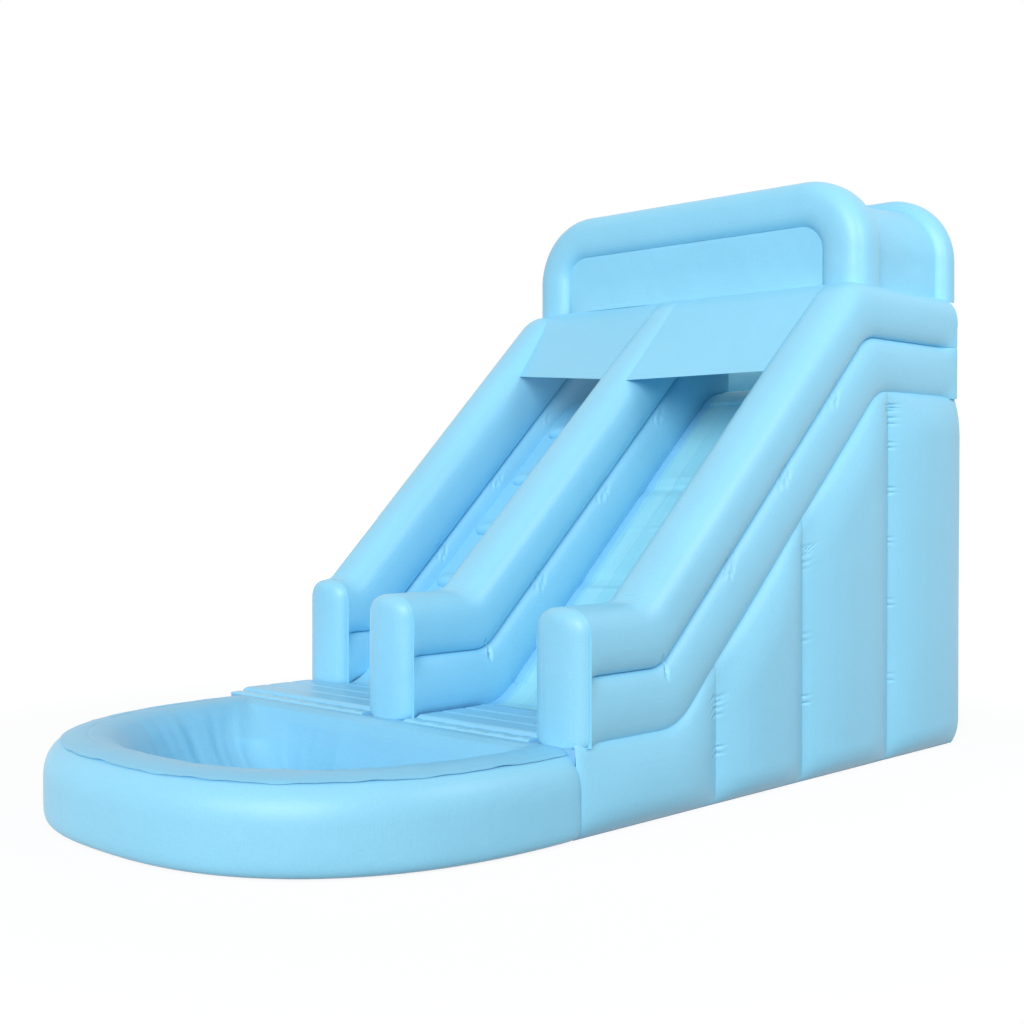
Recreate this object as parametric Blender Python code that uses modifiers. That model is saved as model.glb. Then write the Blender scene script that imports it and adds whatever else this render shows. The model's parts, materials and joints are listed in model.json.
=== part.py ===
"""Inflatable water slide with a side entry, a climbing lane, a slide lane and a splash pool.

The frame is in metres: +X to the right as seen from the pool, +Y from the pool to the tower,
+Z up. The ground is z = 0. Places are first worked out with y = 0 at the front of the slide
body, where the pool joins it, and one empty then moves the whole to its own origin, the centre
of its footprint.
"""

import math
import bmesh
import bpy
from mathutils import Matrix, Vector

# Clearances and sheet stock
GAP = 0.0003            # between two pieces that touch
MERGE = 0.00001         # points closer than this are one
SKIN = 0.02             # wall of a chamber that is modelled as a shell
CLOTH = 0.012           # a single hung sheet
BULGE = 0.035           # how far a wall swells between its seams

# Slide body
HALF_WIDTH = 1.975      # centre line to the seams of the side walls
BODY_LENGTH = 5.25      # front seam to back seam
BASE_HEIGHT = 0.61      # landing deck
TOWER_HEIGHT = 3.17     # platform
SLOPE_FOOT = 1.105      # where the line of the incline meets the deck
SLOPE_HEAD = 3.893      # and where it meets the platform
FOOT_RADIUS = 0.5
HEAD_RADIUS = 0.42
CREASE_FOOT_RADIUS = 0.28

# Side walls and the webs inside
CELL_SEAMS = (1.55, 2.71, 4.04)      # where the upright webs are sewn to the side walls
WEB_PORT = 0.22                     # radius of the air holes in a web
BACK_CELLS = 4
CELL_FADE_SHARE = 0.18              # share of a cell's length over which its swelling starts
CELL_SHARES = (0.06, 0.18, 0.5, 0.82, 0.94)
WALL_FADE_SHARE = 0.06              # the same for a wall's height
WALL_ROW_SHARES = (0, 0.02, 0.06, 0.35, 0.65, 0.94, 0.98, 1)

# Rails: each is two stacked tubes behind an upright post
RAIL_WIDTH = 0.42
TUBE_HEIGHT = 0.47
POST_DEPTH = 0.1
POST_ROUND = 0.15                   # depth of the half-round that the front of a post is part of
POST_HALF_WIDTH = 0.24
POST_TOP_ROUND = 0.1
POST_POWER = 2.5
POST_DOME_SHARE = 0.82
FIRST_POST_SHARE = 0.5
RAIL_END_ROUND = 0.07
LEFT_SET_BACK = 0.83                # the left post stands back and leaves the side entry open
LEFT_FOOT_SHIFT = 0.33
LEFT_HEAD_SHIFT = 0.35
LEFT_CREST_HEAD_SHIFT = 0.165
CENTRE_RAIL_BACK = 4.15
DOME_START_SHARE = 0.42             # share of a tube's height where its top starts to round
DOME_POWER = 2.8
END_SCALE_SHARE = 0.86

# Lanes, landing and platform
BED_HEIGHT = 0.09
BED_CHANNEL = 0.018                 # depth of the sewn channels across the slide lane
LANE_CELLS = 3
DECK_DEPTH = 0.09
LANE_LIP = 0.06                     # flat start of a lane before the bend
PAD_HEIGHT = 0.045
PAD_CHANNEL = 0.012
PAD_CELLS = 3
STRIP_WIDTH = 0.12
STRIP_HEIGHT = 0.035
SLIP_MARGIN = 0.113                 # from the slip sheet to the edge of the lane
SLIP_THICK = 0.01
STEP_COUNT = 5
STEP_RADIUS = 0.075
STEP_SIDE_ROOM = 0.1
STEP_PLACE_SHARES = (0, 0.03, 0.1, 0.9, 0.97, 1)
STEP_ROUND_SHARES = (0.6, 0.9, 1, 1, 0.9, 0.6)
REAR_PLACE_SHARES = (0, 0.04, 0.96, 1)
HANDLE_SPAN = 0.24
HANDLE_RISE = 0.075
HANDLE_RADIUS = 0.011
HANDLE_FEET = 0.045

# Arches and the sheets between them
ARCH_INSET = 0.311                  # from the seams of the side walls to the centre line of a leg
REAR_ARCH_INSET = 0.255
ARCH_RISE = 0.735                   # from the crest of the rails to the centre line of the top tube
ARCH_CORNER = 0.41
ARCH_HALF_THICK = 0.225
FRONT_ARCH_HALF_DEEP = 0.235
REAR_ARCH_HALF_DEEP = 0.15
ARCH_POWER = 2.6
ARCH_SIDES = 14
ARCH_FOOT_DROP = 0.04               # how far a leg's foot hangs over the shoulder of its rail
ARCH_FOOT_SHARE = 0.88
ARCH_LEG_SHARES = (0, 0.12, 0.56)
FRONT_ARCH_Y = 3.955
REAR_ARCH_SET_BACK = 0.01           # from the back seam to the centre of the rear arch
CANOPY_OUTSET = 0.165               # from the arches' centre line out to the canopy
CANOPY_SAG = 0.035
PANEL_Y = 3.792
REAR_PANEL_ROOM = 0.11
APRON_BOTTOM = 2.69                 # the lower hem of the front sheet, measured along y
LEFT_APRON_BOTTOM = 3.1
APRON_DROP = 0.035                  # below the crest of the rails
LEFT_APRON_DROP = 0.12              # the left rail is thicker and the hem meets its flank

# Splash pool
POOL_LENGTH = 2.42
POOL_STRAIGHT = 0.16
POOL_POWER = 2.35                   # 2 would make the front of the pool half an ellipse
POOL_WALL_RISE = 0.01               # how far the pool's wall stands above the landing deck
POOL_WALL_WIDTH = 0.56
POOL_WALL_POWER = 3.4
POOL_FLOOR = 0.02
POOL_LINER = 0.01
HEM_SHARE = 0.6                     # where the liner's hem lies on the shoulder of the tube
BASIN_LEAN_SHARES = (0.06, 0.3, 0.62, 1.0)
BASIN_LEVEL_SHARES = (0.74, 0.4, 0.14, 0.0)
BASIN_SLOPE = 0.3                   # how far the basin's wall leans in from the tube to the floor

# Anchor rings
RING_WIRE = 0.005
RING_HALF_WIDTH = 0.032
RING_DROP = 0.05
RING_CLEAR = 0.0004
LOOP_SIDES = 20
LOOP_LENGTH = 0.036
LOOP_WALL = 0.003
TAB_HALF_WIDTH = 0.05
TAB_HALF_HEIGHT = 0.06
TAB_THICK = 0.004
ANCHOR_HEIGHT = 0.28

# Deflation zip and its cover flap
ZIP_X = 0.49
ZIP_Z = 0.42
ZIP_LENGTH = 0.42
ZIP_HEIGHT = 0.05
ZIP_THICK = 0.006
SLIDER_LENGTH = 0.03
SLIDER_HEIGHT = 0.02
SLIDER_THICK = 0.008
FLAP_HEIGHT = 0.13
FLAP_THICK = 0.004
FLAP_OVERHANG = 0.03
FLAP_CLEAR = 0.005

# Blower inlet
INLET_X = -0.49
INLET_Z = 0.34
INLET_RADIUS = 0.14
INLET_LENGTH = 0.2
INLET_WALL = 0.008

# Mesh steps
RUN_STEPS = 3
BEND_STEPS = 5
INCLINE_STEPS = 3
SIDE_STEPS = 5
DOME_STEPS = 9

# Colours as linear values
VINYL = (0.27, 0.6, 0.84)
SHEET_BLUE = (0.3, 0.65, 0.88)
LINER_BLUE = (0.26, 0.62, 0.8)
WEB_BLUE = (0.2, 0.46, 0.66)
STEEL = (0.6, 0.62, 0.64)


# Levels and lines that follow from the driving sizes
SLOPE = math.atan2(TOWER_HEIGHT - BASE_HEIGHT, SLOPE_HEAD - SLOPE_FOOT)
RAIL_CENTRE = HALF_WIDTH - RAIL_WIDTH / 2
LANE_INNER = RAIL_WIDTH / 2
LANE_OUTER = HALF_WIDTH - RAIL_WIDTH
CREST = TOWER_HEIGHT + 2 * TUBE_HEIGHT
ARCH_HALF_WIDTH = HALF_WIDTH - ARCH_INSET
REAR_ARCH_HALF_WIDTH = HALF_WIDTH - REAR_ARCH_INSET
ARCH_TOP = CREST + ARCH_RISE
POOL_WALL_HEIGHT = BASE_HEIGHT + POOL_WALL_RISE
FOOT_TANGENT = FOOT_RADIUS * math.tan(SLOPE / 2)
DECK_END = SLOPE_FOOT - FOOT_TANGENT
REAR_ARCH_Y = BODY_LENGTH - REAR_ARCH_SET_BACK
REAR_FACE = BODY_LENGTH + BULGE
PLATFORM_FRONT = CENTRE_RAIL_BACK + GAP
LANE_FRONT = DECK_END - LANE_LIP
ORIGIN_Y = (REAR_FACE + INLET_LENGTH - POOL_LENGTH) / 2


def clear_scene():
    """Empties the scene of whatever objects it holds."""
    for obj in list(bpy.data.objects):
        bpy.data.objects.remove(obj, do_unlink=True)


def collection(name):
    made = bpy.data.collections.new(name)
    bpy.context.scene.collection.children.link(made)
    return made


def material(name, colour, roughness, metallic):
    made = bpy.data.materials.new(name)
    made.use_nodes = True
    shader = made.node_tree.nodes["Principled BSDF"]
    shader.inputs["Base Color"].default_value = (*colour, 1)
    shader.inputs["Roughness"].default_value = roughness
    shader.inputs["Metallic"].default_value = metallic
    return made


clear_scene()
PARTS = collection("inflatable_water_slide")
CUTTERS = collection("cutters")
CUTTERS.hide_render = True
ORIGIN = bpy.data.objects.new("footprint_centre", None)
ORIGIN.location = (0, -ORIGIN_Y, 0)
PARTS.objects.link(ORIGIN)


def add_part(name, mesh, colour, roughness=0.42, metallic=0.0):
    """Links a mesh as a named piece with its own material, under the footprint's empty."""
    obj = bpy.data.objects.new(name, mesh)
    PARTS.objects.link(obj)
    obj.parent = ORIGIN
    mesh.materials.append(material(name, colour, roughness, metallic))
    mesh.shade_smooth()
    mesh.set_sharp_from_angle(angle=math.radians(40))
    return obj


def mesh_of(bm, name):
    """Turns the faces outwards and stores the bmesh."""
    bmesh.ops.recalc_face_normals(bm, faces=bm.faces)
    mesh = bpy.data.meshes.new(name)
    bm.to_mesh(mesh)
    bm.free()
    return mesh


def signed_volume(mesh):
    """The volume inside a closed mesh, negative where its faces point inwards."""
    bm = bmesh.new()
    bm.from_mesh(mesh)
    volume = bm.calc_volume(signed=True)
    bm.free()
    return volume


def bend_grid(bm, across, along, place, tube=True):
    """Adds a flat grid, bent to the surface of place(column, row).

    A tube's last column lies on its first and is merged with it.
    """
    made = bmesh.ops.create_grid(bm, x_segments=across, y_segments=along, size=1)
    for v in made["verts"]:
        column = round((v.co.x + 1) / 2 * across)
        row = round((v.co.y + 1) / 2 * along)
        v.co = place(column % across if tube else column, row)
    bmesh.ops.remove_doubles(bm, verts=bm.verts, dist=MERGE)


def fill_ends(bm, within=math.inf):
    """Fills the open ends, or only those below a height."""
    ends = [e for e in bm.edges if e.is_boundary and max(v.co.z for v in e.verts) < within]
    bmesh.ops.holes_fill(bm, edges=ends, sides=0)


def lofted(name, rings, colour, **finish):
    """A closed tube through rings of equal length."""
    bm = bmesh.new()
    bend_grid(bm, len(rings[0]), len(rings) - 1, lambda column, row: rings[row][column])
    fill_ends(bm)
    mesh = mesh_of(bm, name)
    if signed_volume(mesh) < 0:
        mesh.flip_normals()
    return add_part(name, mesh, colour, **finish)


def box(name, low, high, colour, **finish):
    """A cube primitive between two corners."""
    bm = bmesh.new()
    bmesh.ops.create_cube(bm, size=1)
    low, high = Vector(low), Vector(high)
    for v in bm.verts:
        v.co = Vector(lo + (c + 0.5) * (hi - lo) for c, lo, hi in zip(v.co, low, high))
    return add_part(name, mesh_of(bm, name), colour, **finish)


def plate(name, outlines, thickness, turn, colour, **finish):
    """A flat outline, with holes where it has further outlines, as a plate of the thickness.

    The outlines are in the plate's own plane, and turn places them.
    """
    curve = bpy.data.curves.new(name, "CURVE")
    curve.dimensions = "2D"
    curve.fill_mode = "BOTH"
    curve.extrude = thickness / 2
    for outline in outlines:
        spline = curve.splines.new("POLY")
        spline.points.add(len(outline) - 1)
        for point, (x, y) in zip(spline.points, outline):
            point.co = (x, y, 0, 1)
        spline.use_cyclic_u = True
    guide = bpy.data.objects.new(name, curve)
    PARTS.objects.link(guide)
    graph = bpy.context.evaluated_depsgraph_get()
    mesh = bpy.data.meshes.new_from_object(guide.evaluated_get(graph))
    bpy.data.objects.remove(guide)
    bm = bmesh.new()
    bm.from_mesh(mesh)
    bpy.data.meshes.remove(mesh)
    bmesh.ops.remove_doubles(bm, verts=bm.verts, dist=MERGE)
    bmesh.ops.transform(bm, matrix=turn, verts=bm.verts)
    return add_part(name, mesh_of(bm, name), colour, **finish)


def wire(name, points, radius, colour, cyclic=False, sides=2, **finish):
    """A round wire along the points."""
    curve = bpy.data.curves.new(name, "CURVE")
    curve.dimensions = "3D"
    curve.bevel_depth = radius
    curve.bevel_resolution = sides
    curve.use_fill_caps = True
    spline = curve.splines.new("POLY")
    spline.points.add(len(points) - 1)
    for point, place in zip(spline.points, points):
        point.co = (*place, 1)
    spline.use_cyclic_u = cyclic
    obj = bpy.data.objects.new(name, curve)
    PARTS.objects.link(obj)
    curve.materials.append(material(name, colour, **finish))
    return obj


def swell(share, fade_share):
    """1 in the middle of a wall and 0 at both its seams, full for most of the way."""
    edge = min(share, 1 - share) / fade_share
    return math.sin(math.pi / 2 * min(1, max(0, edge)))


def swollen_face(place_share):
    """How far each row of a wall stands out at a share of the way across its cell."""
    across = swell(place_share, CELL_FADE_SHARE)
    return [BULGE * swell(row, WALL_FADE_SHARE) * across for row in WALL_ROW_SHARES]


def power_sine(angle, power):
    s = math.sin(angle)
    return math.copysign(abs(s) ** (2 / power), s)


def power_cosine(angle, power):
    return power_sine(angle + math.pi / 2, power)


# Lines up the slope

def bent_line(front, foot, head, back, low, high, foot_radius, head_radius, incline=INCLINE_STEPS,
              run=RUN_STEPS):
    """Points (y, z) of a line that runs level, up the incline and level again, with round bends."""
    rise = math.atan2(high - low, head - foot)
    foot_run = foot_radius * math.tan(rise / 2)
    head_run = head_radius * math.tan(rise / 2)
    points = [(front + (foot - foot_run - front) * i / run, low) for i in range(run)]
    for i in range(BEND_STEPS + 1):
        a = rise * i / BEND_STEPS
        points.append((foot - foot_run + foot_radius * math.sin(a), low + foot_radius * (1 - math.cos(a))))
    start = Vector(points[-1])
    end = Vector((head - head_run * math.cos(rise), high - head_run * math.sin(rise)))
    points += [tuple(start.lerp(end, i / incline)) for i in range(1, incline)]
    for i in range(BEND_STEPS, -1, -1):
        a = rise * i / BEND_STEPS
        points.append((head + head_run - head_radius * math.sin(a), high - head_radius * (1 - math.cos(a))))
    return points + [(head + head_run + (back - head - head_run) * i / run, high)
                     for i in range(1, run + 1)]


def moved(line, dz):
    return [(y, z + dz) for y, z in line]


def raised(line, heights):
    """The line moved square to itself by a height for each of its points."""
    out = []
    for i, (y, z) in enumerate(line):
        before, after = Vector(line[max(i - 1, 0)]), Vector(line[min(i + 1, len(line) - 1)])
        along = (after - before).normalized()
        out.append((y - along.y * heights[i], z + along.x * heights[i]))
    return out


def height_on(line, y):
    """The line's height at y."""
    for (y0, z0), (y1, z1) in zip(line, line[1:]):
        if y0 <= y <= y1:
            return z0 + (z1 - z0) * (y - y0) / max(y1 - y0, MERGE)
    return line[0][1] if y < line[0][0] else line[-1][1]


def mitre(offset):
    """How far a bend of the slope moves to the front in a line that lies offset above it."""
    return offset * math.tan(SLOPE / 2)


def rail_lines(front, back, foot_shift=0.0, head_shift=0.0, crest_head_shift=0.0):
    """The seam under a rail, the crease between its tubes and its crest."""
    shifts = (head_shift, head_shift, crest_head_shift)
    radii = (FOOT_RADIUS, CREASE_FOOT_RADIUS, CREASE_FOOT_RADIUS)
    return [bent_line(front, SLOPE_FOOT + foot_shift - mitre(i * TUBE_HEIGHT),
                      SLOPE_HEAD + shifts[i] - mitre(i * TUBE_HEIGHT), back,
                      BASE_HEIGHT + i * TUBE_HEIGHT, TOWER_HEIGHT + i * TUBE_HEIGHT,
                      radii[i], HEAD_RADIUS)
            for i in range(3)]


BACK = BODY_LENGTH - RAIL_END_ROUND
RAILS = {
    "left": (-RAIL_CENTRE, LEFT_SET_BACK,
             rail_lines(LEFT_SET_BACK + POST_DEPTH + GAP, BACK, LEFT_FOOT_SHIFT, LEFT_HEAD_SHIFT,
                        LEFT_CREST_HEAD_SHIFT)),
    "centre": (0.0, 0.0, rail_lines(POST_DEPTH + GAP, CENTRE_RAIL_BACK - RAIL_END_ROUND)),
    "right": (RAIL_CENTRE, 0.0, rail_lines(POST_DEPTH + GAP, BACK)),
}
WALL_TOP = bent_line(0, SLOPE_FOOT, SLOPE_HEAD, BODY_LENGTH - SKIN - GAP, BASE_HEIGHT, TOWER_HEIGHT,
                     FOOT_RADIUS, HEAD_RADIUS)
LEFT_WALL_TOP = bent_line(0, SLOPE_FOOT + LEFT_FOOT_SHIFT, SLOPE_HEAD + LEFT_HEAD_SHIFT,
                          BODY_LENGTH - SKIN - GAP, BASE_HEIGHT, TOWER_HEIGHT, FOOT_RADIUS, HEAD_RADIUS)


# Rails

def lower_section():
    """(x, share of height) round a lower tube: flat below and on top, swollen at the sides."""
    side = [(RAIL_WIDTH / 2 + BULGE * math.sin(math.pi * i / SIDE_STEPS), i / SIDE_STEPS)
            for i in range(SIDE_STEPS + 1)]
    return side + [(-x, share) for x, share in reversed(side)]


def dome_section(start_share):
    """(x, share of height) round a tube with a flat base, swollen sides and a round top."""
    reach = RAIL_WIDTH / 2 + BULGE
    low = [(RAIL_WIDTH / 2 + BULGE * math.sin(math.pi / 2 * i / 3), start_share * i / 3) for i in range(3)]
    dome = [(reach * power_cosine(math.pi * i / DOME_STEPS, DOME_POWER),
             start_share + (1 - start_share) * power_sine(math.pi * i / DOME_STEPS, DOME_POWER))
            for i in range(DOME_STEPS + 1)]
    return low + dome + [(-x, share) for x, share in reversed(low)]


def dome_half_width(drop, height=TUBE_HEIGHT):
    """Half the width of an upper tube at a drop below its crest."""
    share = max(0.0, ((1 - drop / height) - DOME_START_SHARE) / (1 - DOME_START_SHARE))
    angle = math.asin(share ** (DOME_POWER / 2))
    return (RAIL_WIDTH / 2 + BULGE) * power_cosine(angle, DOME_POWER)


def rail_tube(name, x, section, bottom, top, rounded_end):
    """A tube whose section stretches from the bottom line to the top line."""
    rings = []
    for (y0, z0), (y1, z1) in zip(bottom, top):
        rings.append([Vector((x + dx, y0 + (y1 - y0) * h, z0 + (z1 - z0) * h)) for dx, h in section])
    last = rings[-1]
    middle = sum(last, Vector()) / len(last)
    for share, run in ((math.sin(math.pi / 4), math.cos(math.pi / 4)), (0, 1)):
        scale = END_SCALE_SHARE + (1 - END_SCALE_SHARE) * share
        rings.append([Vector((middle.x + (p.x - middle.x) * scale, p.y + RAIL_END_ROUND * run * rounded_end,
                              max(middle.z + (p.z - middle.z) * scale, last[0].z))) for p in last])
    return lofted(name, rings, VINYL)


def post(side, x, front):
    """The upright front of a rail: half round in plan, with a rounded top."""
    height = 2 * TUBE_HEIGHT
    reach = [(1, share) for share in (0, POST_DOME_SHARE / 2)]
    dome = [(power_cosine(math.pi * i / DOME_STEPS, POST_POWER),
             POST_DOME_SHARE + (1 - POST_DOME_SHARE) * power_sine(math.pi * i / DOME_STEPS, POST_POWER))
            for i in range(DOME_STEPS + 1)]
    section = reach + dome + [(-w, share) for w, share in reversed(reach)]
    last = math.acos((1 - POST_DEPTH / POST_ROUND) ** (POST_POWER / 2))
    rings = []
    for i in range(BEND_STEPS + 1):
        angle = last * (i + FIRST_POST_SHARE) / (BEND_STEPS + FIRST_POST_SHARE)
        run = POST_ROUND * (1 - power_cosine(angle, POST_POWER))
        wide = power_sine(angle, POST_POWER)
        top = height - POST_TOP_ROUND * (1 - wide)
        rings.append([Vector((x + POST_HALF_WIDTH * wide * w, front + run, BASE_HEIGHT + share * top))
                      for w, share in section])
    return lofted(f"{side}_post", rings, VINYL)


def rail(side):
    """The two tubes of a rail behind its post."""
    x, front, (base, crease, crest) = RAILS[side]
    rail_tube(f"{side}_rail_lower_tube", x, lower_section(), base, moved(crease, -GAP), 1)
    rail_tube(f"{side}_rail_upper_tube", x, dome_section(DOME_START_SHARE), crease, crest, 1)
    return post(side, x, front)


def rear_rail(name, level, section):
    """A tube across the back of the platform, between the side rails."""
    reach = LANE_OUTER - BULGE - GAP
    middle = BODY_LENGTH - RAIL_WIDTH / 2
    rings = []
    for share in REAR_PLACE_SHARES:
        scale = END_SCALE_SHARE if share in (0, 1) else 1
        rings.append([Vector((reach * (2 * share - 1), middle + dy * scale,
                              level + h * (TUBE_HEIGHT - GAP) * (scale if h else 1)))
                      for dy, h in section])
    return lofted(name, rings, VINYL)


# Walls of the slide body

def cell_share(y, seams):
    """How far y lies from one seam of its cell to the next, as a share."""
    marks = (0,) + seams + (BODY_LENGTH,)
    for near, far in zip(marks, marks[1:]):
        if near <= y <= far:
            return (y - near) / (far - near)
    return 0


def wall_places(top, seams):
    """Stations along a side wall: the top line's own points, the seams and points beside them."""
    own = [y for y, _ in top]
    wanted = list(seams)
    marks = (0,) + seams + (BODY_LENGTH,)
    for near, far in zip(marks, marks[1:]):
        wanted += [near + (far - near) * share for share in CELL_SHARES]
    return sorted(own + [y for y in wanted if y < own[-1] and min(abs(y - z) for z in own) > SKIN / 2])


def side_wall(name, side, top):
    """A sewn side wall, drawn in at the upright webs and swollen between them."""
    rings = []
    for y in wall_places(top, CELL_SEAMS):
        low, high = SKIN + GAP, height_on(top, y) - GAP
        outer, inner = [], []
        for share, swollen in zip(WALL_ROW_SHARES, swollen_face(cell_share(y, CELL_SEAMS))):
            out = HALF_WIDTH + swollen
            z = low + (high - low) * share
            outer.append(Vector((side * out, y, z)))
            inner.append(Vector((side * (out - SKIN), y, z)))
        rings.append(outer + inner[::-1])
    return lofted(name, rings, VINYL)


def back_wall():
    """The back wall, in upright cells between its webs."""
    rings = []
    low, high = SKIN + GAP, TOWER_HEIGHT - GAP
    places = [cell + share for cell in range(BACK_CELLS) for share in (0, *CELL_SHARES)]
    for place in (*places, BACK_CELLS):
        x = HALF_WIDTH * (2 * place / BACK_CELLS - 1)
        outer, inner = [], []
        for share, swollen in zip(WALL_ROW_SHARES, swollen_face(place % 1)):
            out = BODY_LENGTH + swollen
            z = low + (high - low) * share
            outer.append(Vector((x, out, z)))
            inner.append(Vector((x, out - SKIN, z)))
        rings.append(outer + inner[::-1])
    return lofted("back_wall", rings, VINYL)


def circle(cx, cy, radius, steps=16):
    return [(cx + radius * math.cos(2 * math.pi * i / steps), cy + radius * math.sin(2 * math.pi * i / steps))
            for i in range(steps)]


def inner_web(name, y):
    """An upright web inside the body, stepped where the lower left rail passes over it."""
    reach = HALF_WIDTH - SKIN - GAP
    low = SKIN + GAP
    high = height_on(WALL_TOP, y - SKIN / 2) - GAP
    left = height_on(LEFT_WALL_TOP, y - SKIN / 2) - GAP
    step = -LANE_OUTER + BULGE + GAP
    outline = [(-reach, low), (reach, low), (reach, high), (step, high), (step, left), (-reach, left)]
    if abs(high - left) < GAP:
        outline = [(-reach, low), (reach, low), (reach, high), (-reach, high)]
    port = (low + left) / 2
    ports = [circle(x, port, WEB_PORT) for x in (-reach / 2, reach / 2)]
    turn = Matrix.Translation((0, y, 0)) @ Matrix.Rotation(math.pi / 2, 4, "X")
    return plate(name, [outline] + ports, SKIN, turn, WEB_BLUE, roughness=0.6, metallic=0.0)


# Lanes

def lane_line():
    return bent_line(LANE_FRONT, SLOPE_FOOT, SLOPE_HEAD, CENTRE_RAIL_BACK, BASE_HEIGHT, TOWER_HEIGHT,
                     FOOT_RADIUS, HEAD_RADIUS, incline=4 * LANE_CELLS + 2, run=1)


def bed_tops(line, channel):
    """The bed's height at each station: thin at the landing, then full, with sewn channels."""
    foot = line[1 + BEND_STEPS][0]
    head = line[-2 - BEND_STEPS][0]
    heights = []
    for y, _ in line:
        grow = min(1.0, max(0.0, (y - DECK_END) / (foot - DECK_END)))
        full = PAD_HEIGHT + (BED_HEIGHT - PAD_HEIGHT) * grow
        turn = math.pi * LANE_CELLS * (y - foot) / (head - foot)
        inside = foot <= y <= head
        heights.append(full - (channel * (1 - abs(math.sin(turn)) ** 0.5) if inside else 0))
    return heights


def strip_along(name, line, tops, bottoms, x0, x1, colour, **finish):
    """A flat-sided bed or sheet between two x places, following the line."""
    low, high = raised(line, bottoms), raised(line, tops)
    rings = [[Vector((x0, y0, z0)), Vector((x1, y0, z0)), Vector((x1, y1, z1)), Vector((x0, y1, z1))]
             for (y0, z0), (y1, z1) in zip(low, high)]
    return lofted(name, rings, colour, **finish)


def lanes():
    """The slide lane with its slip sheet, and the climbing lane beside it."""
    line = lane_line()
    flank = BULGE * math.sin(math.pi * BED_HEIGHT / TUBE_HEIGHT) + GAP
    zero = [0] * len(line)
    full = bed_tops(line, BED_CHANNEL)
    inner, outer = LANE_INNER + flank, LANE_OUTER - flank
    strip_along("slide_lane", line, full, zero, inner, outer, LINER_BLUE, roughness=0.38)
    tops = [h + SLIP_THICK for h in full]
    lows = [h + GAP for h in full]
    strip_along("slide_slip_sheet", line, tops, lows, inner + SLIP_MARGIN, outer - SLIP_MARGIN,
                LINER_BLUE, roughness=0.3)
    plain = bed_tops(line, 0)
    edge = LANE_OUTER - BULGE - GAP
    strip_along("climbing_lane", line, plain, zero, -edge, -inner, VINYL)
    return line, plain, inner, edge


def climbing_steps(line, tops, inner, outer):
    """Half-round treads across the climbing lane, and webbing handles between them."""
    surface = raised(line, tops)
    start = Vector(surface[1 + BEND_STEPS])
    end = Vector(surface[-2 - BEND_STEPS])
    along = (end - start).normalized()
    out = Vector((-along.y, along.x))
    middle = -(inner + outer) / 2
    reach = (outer - inner) / 2 - STEP_SIDE_ROOM
    sides = 8
    for n in range(STEP_COUNT):
        seat = start.lerp(end, (n + 0.5) / STEP_COUNT) + out * GAP
        rings = []
        for share, scale in zip(STEP_PLACE_SHARES, STEP_ROUND_SHARES):
            ring = []
            for i in range(sides + 1):
                a = math.pi * i / sides
                at = seat + (along * math.cos(a) + out * math.sin(a)) * STEP_RADIUS * scale
                ring.append(Vector((middle + reach * (2 * share - 1), at.x, at.y)))
            rings.append(ring)
        lofted(f"climbing_step_{n + 1}", rings, VINYL)
    for n in range(STEP_COUNT - 1):
        seat = start.lerp(end, (n + 1) / STEP_COUNT) + out * (HANDLE_RADIUS + GAP)
        points = []
        for k in range(BEND_STEPS * 2 + 1):
            a = math.pi * k / (BEND_STEPS * 2)
            x = middle - HANDLE_SPAN / 2 * math.cos(a)
            at = seat + out * HANDLE_RISE * math.sin(a)
            points.append((x, at.x, at.y))
        ends = [(points[0][0] - HANDLE_FEET, *points[0][1:]), (points[-1][0] + HANDLE_FEET, *points[-1][1:])]
        handle = wire(f"climbing_handle_{n + 1}", [ends[0], *points, ends[1]], HANDLE_RADIUS, WEB_BLUE,
                      roughness=0.8, metallic=0.0)
        handle.parent = ORIGIN


def landing():
    """The deck at the foot of the lanes, its sewn pads and the bright seam along the pool."""
    reach = HALF_WIDTH - SKIN - GAP
    box("landing_deck", (-reach, SKIN + GAP, BASE_HEIGHT - DECK_DEPTH),
        (reach, DECK_END, BASE_HEIGHT - GAP), VINYL)
    front, back = STRIP_WIDTH + GAP, LANE_FRONT - GAP
    steps = PAD_CELLS * 4
    for name, x0, x1, entry in (("slide_landing_pad", LANE_INNER + BULGE, LANE_OUTER - BULGE, 0),
                                ("entry_landing_pad", -LANE_OUTER + BULGE, -LANE_INNER - BULGE, -reach)):
        rings = []
        for i in range(steps + 1):
            y = front + (back - front) * i / steps
            open_side = entry and y + (back - front) / steps < LEFT_SET_BACK
            left = entry if open_side else x0
            top = BASE_HEIGHT + PAD_HEIGHT - PAD_CHANNEL * (1 - abs(math.sin(math.pi * i / 4)) ** 0.5)
            rings.append([Vector((left, y, BASE_HEIGHT)), Vector((x1, y, BASE_HEIGHT)),
                          Vector((x1, y, top)), Vector((left, y, top))])
        lofted(name, rings, VINYL)
    for name, x0, x1 in (("slide_seam_strip", POST_HALF_WIDTH + GAP, RAIL_CENTRE - POST_HALF_WIDTH - GAP),
                         ("entry_seam_strip", -HALF_WIDTH, -POST_HALF_WIDTH - GAP)):
        box(name, (x0, 0, BASE_HEIGHT), (x1, STRIP_WIDTH, BASE_HEIGHT + STRIP_HEIGHT), SHEET_BLUE)


def platform():
    reach = LANE_OUTER - BULGE - GAP
    box("platform", (-reach, PLATFORM_FRONT, TOWER_HEIGHT),
        (reach, BODY_LENGTH - RAIL_WIDTH - BULGE - GAP, TOWER_HEIGHT + BED_HEIGHT), VINYL)


# Arches and their sheets

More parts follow.
